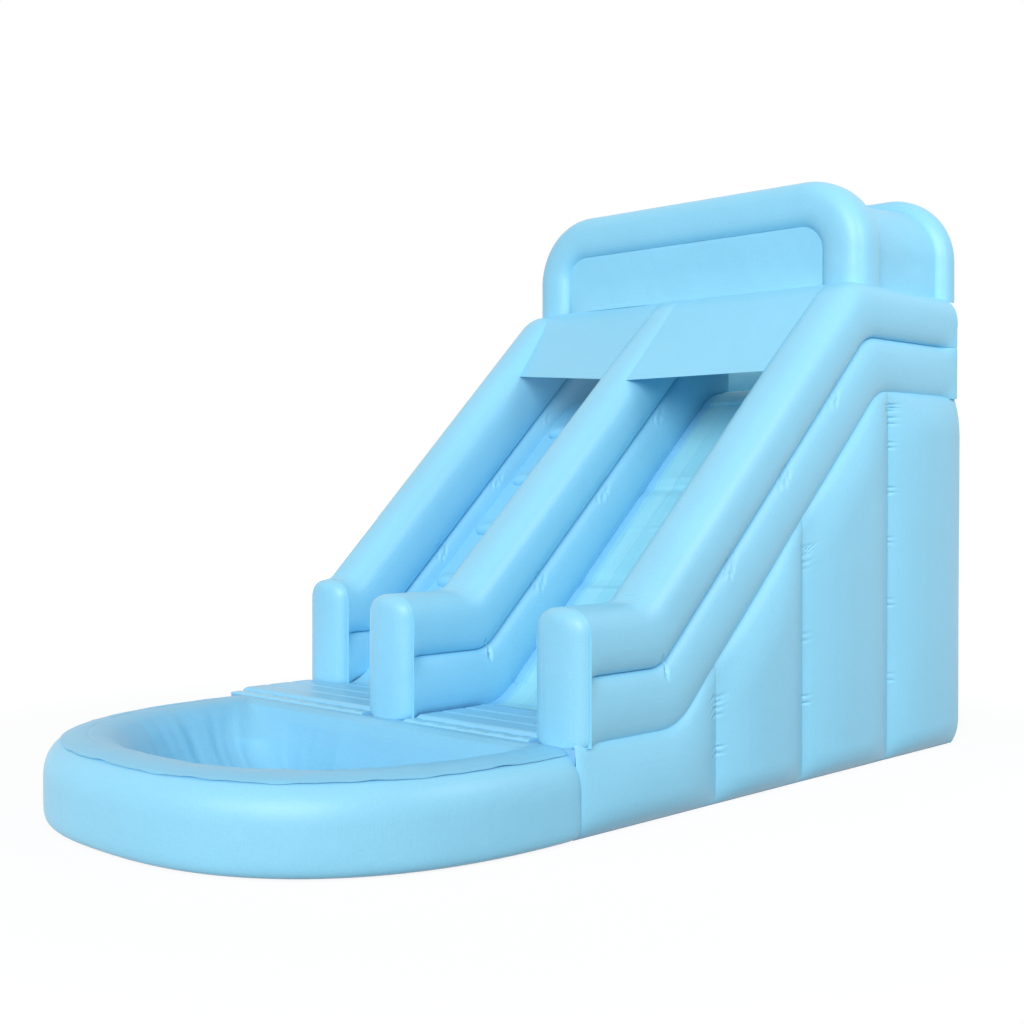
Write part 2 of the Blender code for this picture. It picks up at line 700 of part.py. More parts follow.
def arch_path(half_width, offset, foot):
    """Points (x, z) of an arch's line, and the directions square to it, offset outwards."""
    path = []
    radius = ARCH_CORNER
    straight = ARCH_TOP - radius
    for share in ARCH_LEG_SHARES:
        path.append(((half_width, foot + (straight - foot) * share), (1, 0)))
    for i in range(BEND_STEPS + 2):
        a = math.pi / 2 * i / (BEND_STEPS + 1)
        side = (math.cos(a), math.sin(a))
        path.append(((half_width - radius + radius * side[0], straight + radius * side[1]), side))
    mirrored = [((-x, z), (-nx, nz)) for (x, z), (nx, nz) in reversed(path)]
    full = [*path, ((0, ARCH_TOP), (0, 1)), *mirrored]
    return [((x + nx * offset, z + nz * offset), (nx, nz)) for (x, z), (nx, nz) in full]


def arch_ring(half_deep):
    """(out, deep) round an arch's tube, from its centre line."""
    angles = [2 * math.pi * k / ARCH_SIDES for k in range(ARCH_SIDES)]
    return [(ARCH_HALF_THICK * power_cosine(a, ARCH_POWER), half_deep * power_sine(a, ARCH_POWER))
            for a in angles]


def deep_at(half_deep, out):
    """How deep an arch's tube is at a distance out from its centre line."""
    return height_on(sorted(arch_ring(half_deep)[:ARCH_SIDES // 2]), out)


def out_at(half_deep, deep):
    """How far out an arch's tube is at a depth from its centre line."""
    quarter = [(d, o) for o, d in arch_ring(half_deep)[:ARCH_SIDES // 2] if o > 0]
    return height_on(sorted(quarter), deep)


def crest_cutter(side):
    """The top of a side rail with the clearance round it, to seat the arches on."""
    x = side * RAIL_CENTRE
    rings = []
    for y in (FRONT_ARCH_Y - 2 * FRONT_ARCH_HALF_DEEP, REAR_ARCH_Y + 2 * REAR_ARCH_HALF_DEEP):
        rings.append([Vector((x + dx + math.copysign(GAP, dx), y, CREST - (1 - h) * TUBE_HEIGHT + GAP))
                      for dx, h in dome_section(DOME_START_SHARE)])
    bm = bmesh.new()
    bend_grid(bm, len(rings[0]), 1, lambda column, row: rings[row][column])
    fill_ends(bm)
    cutter = bpy.data.objects.new("right_crest_cutter" if side > 0 else "left_crest_cutter",
                                  mesh_of(bm, "crest_cutter"))
    CUTTERS.objects.link(cutter)
    cutter.parent = ORIGIN
    cutter.hide_render = True
    cutter.display_type = "WIRE"
    return cutter


def arch(name, y, half_width, half_deep, cutters):
    """A round-cornered tube that stands over the crests of the side rails."""
    path = arch_path(half_width, 0, CREST - ARCH_FOOT_DROP)
    rings = []
    for i, ((x, z), (nx, nz)) in enumerate(path):
        scale = ARCH_FOOT_SHARE if i in (0, len(path) - 1) else 1
        rings.append([Vector((x + nx * out * scale, y + deep * scale, z + nz * out * scale))
                      for out, deep in arch_ring(half_deep)])
    obj = lofted(name, rings, VINYL)
    for cutter in cutters:
        seat = obj.modifiers.new(cutter.name, "BOOLEAN")
        seat.operation = "DIFFERENCE"
        seat.solver = "EXACT"
        seat.object = cutter
    return obj


def canopy():
    """The sheet over the platform, from the front arch to the rear one, roof and sides in one."""
    inner = CANOPY_OUTSET - CLOTH
    front = FRONT_ARCH_Y + deep_at(FRONT_ARCH_HALF_DEEP, inner) + GAP
    rear = REAR_ARCH_Y - deep_at(REAR_ARCH_HALF_DEEP, inner) - GAP
    rings = []
    steps = 6
    for i in range(steps + 1):
        y = front + (rear - front) * i / steps
        sag = CANOPY_SAG * math.sin(math.pi * i / steps)
        wide = ARCH_HALF_WIDTH + (REAR_ARCH_HALF_WIDTH - ARCH_HALF_WIDTH) * i / steps
        top = [Vector((x, y, z)) for (x, z), _ in arch_path(wide, CANOPY_OUTSET - sag, CREST + GAP)]
        below = [Vector((x, y, z)) for (x, z), _ in arch_path(wide, inner - sag, CREST + GAP)]
        rings.append(top + below[::-1])
    return lofted("canopy_sheet", rings, SHEET_BLUE)


def arch_sheet(name, y, arch_y, half_width, half_deep):
    """An upright sheet inside an arch, from the crest of the rails up to the tube."""
    offset = out_at(half_deep, max(0, abs(y - arch_y) - CLOTH / 2)) + GAP
    outline = [(x, z) for (x, z), _ in arch_path(half_width, -offset, CREST + GAP)]
    turn = Matrix.Translation((0, y, 0)) @ Matrix.Rotation(math.pi / 2, 4, "X")
    return plate(name, [outline], CLOTH, turn, SHEET_BLUE, roughness=0.42, metallic=0.0)


def index_at(line, y):
    """How many points along the line its y is reached, with the part of the last step."""
    for i, ((y0, _), (y1, _)) in enumerate(zip(line, line[1:])):
        if y0 <= y < y1:
            return i + (y - y0) / (y1 - y0)
    return len(line) - 1


def on_rail(side, index, drop):
    """A place on the inner shoulder of a rail's upper tube, at a drop below its crest."""
    x, _, (_, crease, crest) = RAILS[side]
    i = min(int(index), len(crest) - 2)
    low = Vector(crease[i]).lerp(Vector(crease[i + 1]), index - i)
    high = Vector(crest[i]).lerp(Vector(crest[i + 1]), index - i)
    place = high.lerp(low, drop / TUBE_HEIGHT)
    inward = dome_half_width(drop) + GAP
    return Vector((x - math.copysign(inward, x) if x else inward, place.x, place.y))


def front_sheet(name, side, hem_drop, hem_y):
    """Half of the sloping front sheet, between the centre rail and a side rail.

    Its edges lie on the round tops of the rails, and its lower hem hangs free over the lane. Past
    the front of the arch's leg it is narrower and runs on level to the foot of the front panel.
    """
    turn = -1 if side == "left" else 1
    end = FRONT_ARCH_Y - FRONT_ARCH_HALF_DEEP - GAP
    edges = []
    for rail_name, low_drop, hem in (("centre", APRON_DROP, APRON_BOTTOM), (side, hem_drop, hem_y)):
        crest = RAILS[rail_name][2][2]
        first, last = index_at(crest, hem), index_at(crest, end)
        bend = len(crest) - 1 - RUN_STEPS - BEND_STEPS
        places = [first + (bend - first) * i / 3 for i in range(3)]
        places += [min(bend + i, last) for i in range(BEND_STEPS + 1)] + [last]
        points = []
        for i, place in enumerate(places):
            drop = low_drop + (CLOTH - low_drop) * i / (len(places) - 1)
            points.append(on_rail(rail_name, place, drop))
        edges.append(points)
    leg = ARCH_HALF_WIDTH - ARCH_HALF_THICK - GAP
    for y in (end + GAP, PANEL_Y):
        edges[0].append(Vector((edges[0][-1].x, y, CREST - CLOTH)))
        edges[1].append(Vector((turn * leg, y, CREST - CLOTH)))
    lift = Vector((0, 0, CLOTH))
    rings = []
    for near, far in zip(*edges):
        near = Vector((turn * abs(near.x), near.y, near.z))
        rings.append([near, far, far + lift, near + lift])
    return lofted(name, rings, SHEET_BLUE)


# Splash pool

def pool_line(inset, back=0.0):
    """Points of the pool's outline, from its right end round the front to its left, moved inwards."""
    reach, length = HALF_WIDTH - inset, POOL_LENGTH - POOL_STRAIGHT - inset
    points = [(reach, back + (-POOL_STRAIGHT - back) * i / 2) for i in range(2)]
    turn = 3 * BEND_STEPS
    points += [(reach * power_cosine(math.pi / 2 * i / turn, POOL_POWER),
                -POOL_STRAIGHT - length * power_sine(math.pi / 2 * i / turn, POOL_POWER))
               for i in range(turn + 1)]
    return points + [(-x, y) for x, y in reversed(points[:-1])]


def wall_section():
    """(inset from the outer face, height) round the pool's tube, which stands on a flat strip."""
    sides = 16
    half, high = POOL_WALL_WIDTH / 2, POOL_WALL_HEIGHT / 2
    crown = power_cosine(math.pi / sides, POOL_WALL_POWER)
    angles = [2 * math.pi * (i + 0.5) / sides for i in range(sides)]
    return [(half * (1 - power_cosine(a, POOL_WALL_POWER) / crown),
             high * (1 + power_sine(a, POOL_WALL_POWER) / crown)) for a in angles]


def pool_wall():
    """The tube round the pool. It stays open at its ends, where the slide body feeds it air."""
    lines = [[Vector((x, y, z)) for x, y in pool_line(inset, back=-GAP)] for inset, z in wall_section()]
    bm = bmesh.new()
    bend_grid(bm, len(lines), len(lines[0]) - 1, lambda column, row: lines[column][row])
    obj = add_part("pool_wall", mesh_of(bm, "pool_wall"), VINYL)
    shell = obj.modifiers.new("skin", "SOLIDIFY")
    shell.thickness = SKIN
    shell.offset = -1
    shell.use_even_offset = True
    return obj


def pool_liner():
    """The loose sheet over the wall and down into the basin, in one piece.

    Its first rows lie on the wall and are open to the slide body. The rows below go all round.
    """
    section = wall_section()
    hem = Vector(section[1]).lerp(Vector(section[2]), HEM_SHARE)
    over = [Vector((hem.x, hem.y + GAP))] + [Vector((x, z + GAP)) for x, z in section[2:6]]
    x, z = section[6]
    over.append(Vector((x + GAP, z + GAP)))
    edge = POOL_LINER + 2 * GAP
    rows = [(inset, z, edge) for inset, z in over]
    floor = POOL_FLOOR + GAP
    for lean, level in zip(BASIN_LEAN_SHARES, BASIN_LEVEL_SHARES):
        inset = POOL_WALL_WIDTH + GAP + BASIN_SLOPE * lean
        rows.append((inset, floor + (over[-1].y - floor) * level, edge + BASIN_SLOPE * lean))
    steps = 6
    rings = []
    for inset, z, back in rows:
        ring = [Vector((x, y, z)) for x, y in pool_line(inset, back=-back)]
        rings.append(ring + [ring[-1].lerp(ring[0], i / steps) for i in range(1, steps)])
    last = len(over) - 1
    bm = bmesh.new()
    bend_grid(bm, len(rings[0]) - steps, last, lambda c, r: rings[r][c], tube=False)
    bend_grid(bm, len(rings[0]), len(rings) - 1 - last, lambda c, r: rings[r + last][c])
    fill_ends(bm, floor + GAP)
    mesh = mesh_of(bm, "pool_liner")
    if max(mesh.polygons, key=lambda face: face.area).normal.z < 0:
        mesh.flip_normals()
    obj = add_part("pool_liner", mesh, SHEET_BLUE)
    shell = obj.modifiers.new("sheet", "SOLIDIFY")
    shell.thickness = POOL_LINER
    shell.offset = 1
    return obj


def pool_floor():
    """The ground sheet of the basin, up to the curve of the tube round it."""
    section = wall_section()
    (x0, z0), (x1, z1) = section[-5], section[-6]
    inset = x0 + (x1 - x0) * (POOL_FLOOR - z0) / (z1 - z0) + 2 * GAP
    turn = Matrix.Translation((0, 0, POOL_FLOOR / 2))
    return plate("pool_floor", [pool_line(inset, back=-GAP)], POOL_FLOOR, turn, VINYL, roughness=0.5,
                 metallic=0.0)


# Fittings on the hidden sides

def anchor(name, place, outward):
    """A sewn tab with a loop, and the steel ring that hangs in it."""
    across = Vector((-outward.y, outward.x, 0))
    bar = RING_WIRE + RING_CLEAR + LOOP_WALL
    loop_inner, loop_outer = RING_WIRE + RING_CLEAR, bar
    neck = TAB_THICK + loop_outer
    arc = [math.pi * (i / 8 - 0.5) for i in range(9)]
    outline = [(TAB_THICK, -TAB_HALF_HEIGHT), (TAB_THICK, -loop_outer)]
    outline += [(neck + loop_outer * math.cos(a), loop_outer * math.sin(a)) for a in arc]
    outline += [(TAB_THICK, loop_outer), (TAB_THICK, TAB_HALF_HEIGHT)]
    outline += [(0, TAB_HALF_HEIGHT), (0, -TAB_HALF_HEIGHT)]
    turn = Matrix((
        (outward.x, 0, across.x, place.x),
        (outward.y, 0, across.y, place.y),
        (0, 1, 0, place.z),
        (0, 0, 0, 1)))
    plate(f"{name}_tab", [outline, circle(neck, 0, loop_inner, LOOP_SIDES)], LOOP_LENGTH, turn, WEB_BLUE,
          roughness=0.8, metallic=0.0)
    centre = place + outward * neck
    corner = RING_HALF_WIDTH - 2 * RING_WIRE
    ring = [(-corner, 0), (corner, 0)]
    ring += [(RING_HALF_WIDTH * math.cos(a), -2 * RING_WIRE - (RING_DROP - 2 * RING_WIRE) * math.sin(a))
             for a in (math.pi * i / 10 for i in range(11))]
    points = [across * s + Vector((0, 0, t)) for s, t in ring]
    obj = wire(f"{name}_ring", [tuple(p) for p in points], RING_WIRE, STEEL, cyclic=True,
               roughness=0.25, metallic=1.0)
    obj.parent = ORIGIN
    obj.location = centre


def zip_closure():
    """The deflation zip at the foot of the back wall, under a flap that hangs from its top seam."""
    face = REAR_FACE + GAP
    half = ZIP_LENGTH / 2
    box("deflation_zip", (ZIP_X - half, face, ZIP_Z - ZIP_HEIGHT / 2),
        (ZIP_X + half, face + ZIP_THICK, ZIP_Z + ZIP_HEIGHT / 2), WEB_BLUE, roughness=0.6)
    slider = box("zip_slider", (0, 0, -SLIDER_HEIGHT / 2),
                 (SLIDER_LENGTH, SLIDER_THICK, SLIDER_HEIGHT / 2), STEEL, roughness=0.3, metallic=1.0)
    slider.location = (ZIP_X - half, face + ZIP_THICK + GAP, ZIP_Z)
    hinge = ZIP_Z + ZIP_HEIGHT / 2 + FLAP_OVERHANG
    seam = face + ZIP_THICK + SLIDER_THICK + FLAP_CLEAR
    box("zip_flap_seam", (ZIP_X - half - FLAP_OVERHANG, face, hinge + GAP),
        (ZIP_X + half + FLAP_OVERHANG, seam, hinge + FLAP_OVERHANG), VINYL)
    flap = box("zip_flap", (-half - FLAP_OVERHANG, -FLAP_THICK / 2, -FLAP_HEIGHT),
               (half + FLAP_OVERHANG, FLAP_THICK / 2, 0), VINYL)
    flap.location = (ZIP_X, seam + GAP + FLAP_THICK / 2, hinge)


def blower_inlet():
    """The cloth collar that a blower's tube is strapped to, open at both ends."""
    bm = bmesh.new()
    corners = [bm.verts.new((r, 0, y)) for r, y in (
        (INLET_RADIUS, INLET_LENGTH), (INLET_RADIUS, 0),
        (INLET_RADIUS - INLET_WALL, 0), (INLET_RADIUS - INLET_WALL, INLET_LENGTH))]
    for a, b in zip(corners, corners[1:] + corners[:1]):
        bm.edges.new((a, b))
    obj = add_part("blower_inlet", mesh_of(bm, "blower_inlet"), VINYL)
    turned = obj.modifiers.new("turned", "SCREW")
    turned.steps = turned.render_steps = 28
    turned.use_merge_vertices = True
    turned.merge_threshold = MERGE
    obj.rotation_euler = (-math.pi / 2, 0, 0)
    obj.location = (INLET_X, REAR_FACE + GAP, INLET_Z)


def build():
    box("ground_sheet", (-HALF_WIDTH, 0, 0), (HALF_WIDTH, BODY_LENGTH, SKIN), VINYL)
    inside = HALF_WIDTH - SKIN - GAP
    box("front_wall", (-inside, 0, SKIN + GAP), (inside, SKIN, BASE_HEIGHT - GAP), VINYL)
    side_wall("right_side_wall", 1, WALL_TOP)
    side_wall("left_side_wall", -1, LEFT_WALL_TOP)
    back_wall()
    for n, y in enumerate(CELL_SEAMS):
        inner_web(f"inner_web_{n + 1}", y)
    for side in RAILS:
        rail(side)
    rear_rail("rear_rail_lower_tube", TOWER_HEIGHT, lower_section())
    rear_rail("rear_rail_upper_tube", TOWER_HEIGHT + TUBE_HEIGHT, dome_section(DOME_START_SHARE))
    climbing_steps(*lanes())
    landing()
    platform()
    cutters = [crest_cutter(side) for side in (1, -1)]
    arch("front_arch", FRONT_ARCH_Y, ARCH_HALF_WIDTH, FRONT_ARCH_HALF_DEEP, cutters)
    arch("rear_arch", REAR_ARCH_Y, REAR_ARCH_HALF_WIDTH, REAR_ARCH_HALF_DEEP, cutters)
    canopy()
    arch_sheet("front_panel", PANEL_Y, FRONT_ARCH_Y, ARCH_HALF_WIDTH, FRONT_ARCH_HALF_DEEP)
    arch_sheet("rear_panel", REAR_ARCH_Y - REAR_PANEL_ROOM, REAR_ARCH_Y, REAR_ARCH_HALF_WIDTH,
               REAR_ARCH_HALF_DEEP)
    front_sheet("right_front_sheet", "right", APRON_DROP, APRON_BOTTOM)
    front_sheet("left_front_sheet", "left", LEFT_APRON_DROP, LEFT_APRON_BOTTOM)
    pool_wall()
    pool_floor()
    pool_liner()
    cell = 2 * HALF_WIDTH / BACK_CELLS
    for name, x in (("back_left_anchor", -1.5 * cell), ("back_right_anchor", 1.5 * cell)):
        anchor(name, Vector((x, REAR_FACE + GAP, ANCHOR_HEIGHT)), Vector((0, 1, 0)))
    marks = (0,) + CELL_SEAMS + (BODY_LENGTH,)
    side_face = -HALF_WIDTH - BULGE - GAP
    for name, near, far in (("front_left_anchor", *marks[:2]), ("rear_left_anchor", *marks[-2:])):
        anchor(name, Vector((side_face, (near + far) / 2, ANCHOR_HEIGHT)), Vector((-1, 0, 0)))
    zip_closure()
    blower_inlet()


build()
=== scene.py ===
"""An inflatable water slide: bent double rails, two lanes, a roofed platform and a splash pool.

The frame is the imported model's own, in metres: +X to the right as seen from the pool, +Y from the
pool to the tower, +Z up. Shapes are worked out with y = 0 at the front of the slide body, and each
mesh is then moved by FRONT.
"""

import json
import logging
import math
from dataclasses import dataclass
from enum import Enum
from typing import Any, Callable, Optional, Sequence, Union

import bpy
import numpy as np
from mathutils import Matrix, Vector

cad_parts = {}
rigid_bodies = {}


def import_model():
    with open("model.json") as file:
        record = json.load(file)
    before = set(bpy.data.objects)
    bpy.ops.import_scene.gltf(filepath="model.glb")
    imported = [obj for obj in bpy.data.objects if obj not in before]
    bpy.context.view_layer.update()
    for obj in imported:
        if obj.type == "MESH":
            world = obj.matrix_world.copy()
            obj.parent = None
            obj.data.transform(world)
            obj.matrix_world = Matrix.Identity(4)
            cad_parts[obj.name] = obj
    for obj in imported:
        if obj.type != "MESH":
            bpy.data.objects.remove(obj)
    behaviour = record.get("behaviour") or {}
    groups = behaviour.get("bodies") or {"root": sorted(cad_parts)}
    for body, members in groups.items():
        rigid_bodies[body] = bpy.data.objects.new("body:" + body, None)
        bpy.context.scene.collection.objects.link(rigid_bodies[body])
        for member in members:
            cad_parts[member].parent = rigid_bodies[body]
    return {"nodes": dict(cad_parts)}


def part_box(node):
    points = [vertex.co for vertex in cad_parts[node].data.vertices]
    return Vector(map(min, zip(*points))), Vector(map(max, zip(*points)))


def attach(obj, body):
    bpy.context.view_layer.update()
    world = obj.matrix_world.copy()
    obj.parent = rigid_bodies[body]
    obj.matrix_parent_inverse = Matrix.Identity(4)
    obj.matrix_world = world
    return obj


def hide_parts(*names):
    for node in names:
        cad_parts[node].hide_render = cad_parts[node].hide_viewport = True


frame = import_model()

Array = np.ndarray
Piece = bpy.types.Object
Colour = tuple[float, float, float]

LOG = logging.getLogger("water_slide")
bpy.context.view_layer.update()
FRONT = float(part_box("ground_sheet")[0][1])
BODY = "slide_body"


# Shared sizes


@dataclass(frozen=True)
class Plan:
    """Sizes that several sub-assemblies share."""

    half_width: float = 1.975
    length: float = 5.25
    base: float = 0.61
    tower: float = 3.17
    foot: float = 1.105
    head: float = 3.893
    foot_radius: float = 0.5
    head_radius: float = 0.42
    crease_radius: float = 0.28
    bulge: float = 0.035
    roll: float = 0.035
    rail_width: float = 0.42
    tube: float = 0.47
    centre_back: float = 4.15
    lip: float = 0.06
    post_set_back: float = 0.83
    side_seams: tuple[float, float, float] = (1.55, 2.71, 4.04)
    anchor_height: float = 0.28
    inlet: tuple[float, float] = (-0.49, 0.34)

    @property
    def slope(self) -> float:
        """Angle of the incline."""
        return math.atan2(self.tower - self.base, self.head - self.foot)

    @property
    def crest(self) -> float:
        """Height of the rails' tops beside the platform."""
        return self.tower + 2 * self.tube

    @property
    def rail_centre(self) -> float:
        """Distance of a side rail from the centre line."""
        return self.half_width - self.rail_width / 2

    @property
    def lane_inner(self) -> float:
        """Edge of a lane at the centre rail."""
        return self.rail_width / 2

    @property
    def lane_outer(self) -> float:
        """Edge of a lane at a side rail."""
        return self.half_width - self.rail_width

    @property
    def deck_end(self) -> float:
        """Where the deck ends and the bend of the incline begins."""
        return self.foot - self.foot_radius * math.tan(self.slope / 2)

    @property
    def cell(self) -> float:
        """Width of one of the back wall's four cells."""
        return self.half_width / 2

    def mitre(self, offset: float) -> float:
        """How far a bend moves to the front in a line that lies offset above the slope."""
        return offset * math.tan(self.slope / 2)


PLAN = Plan()


class Side(Enum):
    """Which rail of the three."""

    LEFT = "left"
    CENTRE = "centre"
    RIGHT = "right"


# Numbers and lines


def signed_power(values: Array, power: float) -> Array:
    """Values raised to a power, each keeping its sign."""
    return np.sign(values) * np.abs(values) ** power


def round_cosine(angles: Array, power: float) -> Array:
    """Cosine of a squared-off circle."""
    return signed_power(np.cos(angles), 2 / power)


def round_sine(angles: Array, power: float) -> Array:
    """Sine of a squared-off circle."""
    return signed_power(np.sin(angles), 2 / power)


def eased(count: int) -> Array:
    """Shares from 0 to 1, as many as count, that lie closer together towards both ends."""
    return (1 - np.cos(np.linspace(0, math.pi, count))) / 2


def rolled(distance: Array, width: float) -> Array:
    """1 at an edge, falling to 0 along a quarter round that is width long."""
    share = np.clip(1 - np.asarray(distance) / width, 0, 1)
    return 1 - np.sqrt(1 - share ** 2)


@dataclass(frozen=True)
class BentLine:
    """A line (y, z) that runs level, up the incline and level again, with round bends."""

    front: float
    foot: float
    head: float
    back: float
    low: float
    high: float
    foot_radius: float = PLAN.foot_radius
    head_radius: float = PLAN.head_radius

    def at(self, stations: Array) -> Array:
        """Places on the line.

        Args:
            stations: Values from 0 to 5, with whole numbers where the five stretches meet.

        Returns:
            An array of (y, z).
        """
        rise = math.atan2(self.high - self.low, self.head - self.foot)
        foot_run = self.foot_radius * math.tan(rise / 2)
        head_run = self.head_radius * math.tan(rise / 2)
        start_y = self.foot - foot_run + self.foot_radius * math.sin(rise)
        start_z = self.low + self.foot_radius * (1 - math.cos(rise))
        end_y = self.head - head_run * math.cos(rise)
        end_z = self.high - head_run * math.sin(rise)
        stretch = np.clip(np.floor(stations), 0, 4)
        part = stations - stretch
        near, far = rise * part, rise * (1 - part)
        at = [stretch == n for n in range(5)]
        y = np.select(at, [
            self.front + (self.foot - foot_run - self.front) * part,
            self.foot - foot_run + self.foot_radius * np.sin(near),
            start_y + (end_y - start_y) * part,
            self.head + head_run - self.head_radius * np.sin(far),
            self.head + head_run + (self.back - self.head - head_run) * part])
        z = np.select(at, [
            np.full_like(part, self.low),
            self.low + self.foot_radius * (1 - np.cos(near)),
            start_z + (end_z - start_z) * part,
            self.high - self.head_radius * (1 - np.cos(far)),
            np.full_like(part, self.high)])
        return np.stack([y, z], -1)

    def station(self, y: float) -> float:
        """The station at which the line reaches y."""
        fine = np.linspace(0, 5, 4001)
        return float(np.interp(y, self.at(fine)[:, 0], fine))


def stations(counts: Sequence[int], closer: Sequence[float] = ()) -> Array:
    """Stations along a bent line.

    Args:
        counts: How many steps each stretch has.
        closer: Stations beside which the steps are short, for gathers in the cloth.

    Returns:
        The stations, in order.
    """
    base = [n + np.linspace(0, 1, count, endpoint=False) for n, count in enumerate(counts)]
    near = [place + np.linspace(-0.02, 0.02, 11) for place in closer]
    found = np.unique(np.round(np.concatenate([*base, [len(counts)], *near]), 5))
    return found[(found >= 0) & (found <= len(counts))]


def bell(off: Array, width: float) -> Array:
    """1 where off is 0, falling away to both sides over the width."""
    return np.exp(-(off / width) ** 2)


def points(x: Array, y: Array, z: Array) -> Array:
    """Places from three coordinates, each spread over the whole grid."""
    return np.stack(np.broadcast_arrays(x, y, z), -1)


def lengths_of(path: Array) -> Array:
    """Running length along a path, starting at 0."""
    return np.concatenate([[0], np.cumsum(np.linalg.norm(np.diff(path, axis=0), axis=1))])


def cells_between(marks: Sequence[float]) -> Array:
    """Places along a wall, closer together beside its seams.

    Args:
        marks: The wall's two ends and the seams between them.

    Returns:
        The places, in order.
    """
    part = np.linspace(0, 1, 25)
    part = part - 0.12 * np.sin(2 * math.pi * part)
    return np.unique(np.round(np.concatenate([near + (far - near) * part for near, far in zip(marks, marks[1:])]), 6))


def squared(line: Array) -> Array:
    """Unit vectors (y, z) square to a line, on its upper side."""
    along = np.gradient(line, axis=0)
    return np.stack([-along[:, 1], along[:, 0]], -1) / np.linalg.norm(along, axis=1, keepdims=True)


def laid(line: Array, xs: Array, heights: Array) -> Array:
    """A surface that follows a line (y, z), with xs across it and at (n, m) heights square to it."""
    up = squared(line)
    return points(xs, line[:, :1] + up[:, :1] * heights, line[:, 1:] + up[:, 1:] * heights)


def wavy(values: Array, waves: Sequence[tuple[float, float, float]]) -> Array:
    """A sum of sine waves, each given as (size, length, start)."""
    return sum(size * np.sin(2 * math.pi * values / length + start) for size, length, start in waves)


# Meshes


def facing_of(places: Array, wrap: bool, facing: Optional[Sequence[float]] = None) -> Array:
    """Unit normals of a grid of places.

    Args:
        places: (rows, columns, 3) places.
        wrap: Whether the last column meets the first.
        facing: Roughly where the normals point; outwards from each row's middle if left out.

    Returns:
        (rows, columns, 3) normals.
    """
    if wrap:
        across = np.roll(places, -1, 1) - np.roll(places, 1, 1)
    else:
        across = np.gradient(places, axis=1)
    normal = np.cross(across, np.gradient(places, axis=0))
    normal /= np.maximum(np.linalg.norm(normal, axis=2, keepdims=True), 1e-12)
    away = places - places.mean(axis=1, keepdims=True) if facing is None else np.asarray(facing, float)
    if (normal * away).sum() < 0:
        normal = -normal
    return normal


@dataclass(frozen=True)
class Gather:
    """A short crease that a seam draws into the cloth beside it."""

    place: tuple[float, float, float]
    along: tuple[float, float, float]
    length: float = 0.04
    width: float = 0.011
    depth: float = 0.004


def pressed(places: Array, gathers: Sequence[Gather], wrap: bool,
            facing: Optional[Sequence[float]] = None) -> Array:
    """Presses gathers into a grid of places.

    Args:
        places: (rows, columns, 3) places.
        gathers: The creases.
        wrap: Whether the last column meets the first.
        facing: Roughly where the surface faces.

    Returns:
        The moved places.
    """
    normal = facing_of(places, wrap, facing)
    depth = np.zeros(places.shape[:2])
    for crease in gathers:
        along = np.array(crease.along) / np.linalg.norm(crease.along)
        away = places - np.array(crease.place)
        run = away @ along
        off = np.linalg.norm(away - run[..., None] * along, axis=2) / crease.width
        depth += crease.depth * (1 - 0.8 * off ** 2) * np.exp(-off ** 2 - (run / crease.length) ** 2)
    return places - normal * depth[..., None]


def clear_selection() -> None:
    """Leaves nothing selected."""
    bpy.ops.object.select_all(action="DESELECT")


def pick(obj: Piece) -> None:
    """Makes the object the only selected one, and active.

    Args:
        obj: The piece.
    """
    clear_selection()
    obj.select_set(True)
    bpy.context.view_layer.objects.active = obj


def lengths_along(places: Array, axis: int, wrap: bool = False) -> Array:
    """Mean running length of a grid, starting at 0.

    Args:
        places: (rows, columns, 3) places.
        axis: 0 from row to row, or 1 from column to column.
        wrap: Whether the last meets the first.

    Returns:
        The length at each row or column.
    """
    steps = np.diff(places, axis=axis)
    if wrap:
        last = np.take(places, [0], axis) - np.take(places, [-1], axis)
        steps = np.concatenate([steps, last], axis)
    return np.concatenate([[0], np.cumsum(np.linalg.norm(steps, axis=2).mean(axis=1 - axis))])


def bent_grid(name: str, places: Array, wrap: bool = False) -> Piece:
    """A grid primitive, bent to the places, with a UV map in metres.

    Args:
        name: The piece's name.
        places: (rows, columns, 3) places, with y = 0 at the front of the slide body.
        wrap: Whether the last column meets the first.

    Returns:
        The new object, at the origin.
    """
    rows, columns = places.shape[:2]
    across = columns if wrap else columns - 1
    clear_selection()
    bpy.ops.mesh.primitive_grid_add(x_subdivisions=across, y_subdivisions=rows - 1, size=2.0, calc_uvs=True,
                                    location=(0, 0, 0))
    obj = bpy.context.active_object
    obj.name = obj.data.name = name
    flat = np.empty(len(obj.data.vertices) * 3, np.float32)
    obj.data.vertices.foreach_get("co", flat)
    flat = flat.reshape(-1, 3)
    column = np.rint((flat[:, 0] + 1) / 2 * across).astype(int) % columns
    row = np.rint((flat[:, 1] + 1) / 2 * (rows - 1)).astype(int)
    moved = places[row, column] + np.array([0, FRONT, 0])
    obj.data.vertices.foreach_set("co", moved.astype(np.float32).ravel())
    layer = obj.data.uv_layers.active.data
    uv = np.empty(len(layer) * 2, np.float32)
    layer.foreach_get("uv", uv)
    uv = uv.reshape(-1, 2)
    uv[:, 0] = np.interp(uv[:, 0] * across, np.arange(across + 1), lengths_along(places, 1, wrap))
    uv[:, 1] = np.interp(uv[:, 1] * (rows - 1), np.arange(rows), lengths_along(places, 0))
    layer.foreach_set("uv", uv.ravel())
    obj.data.update()
    return obj


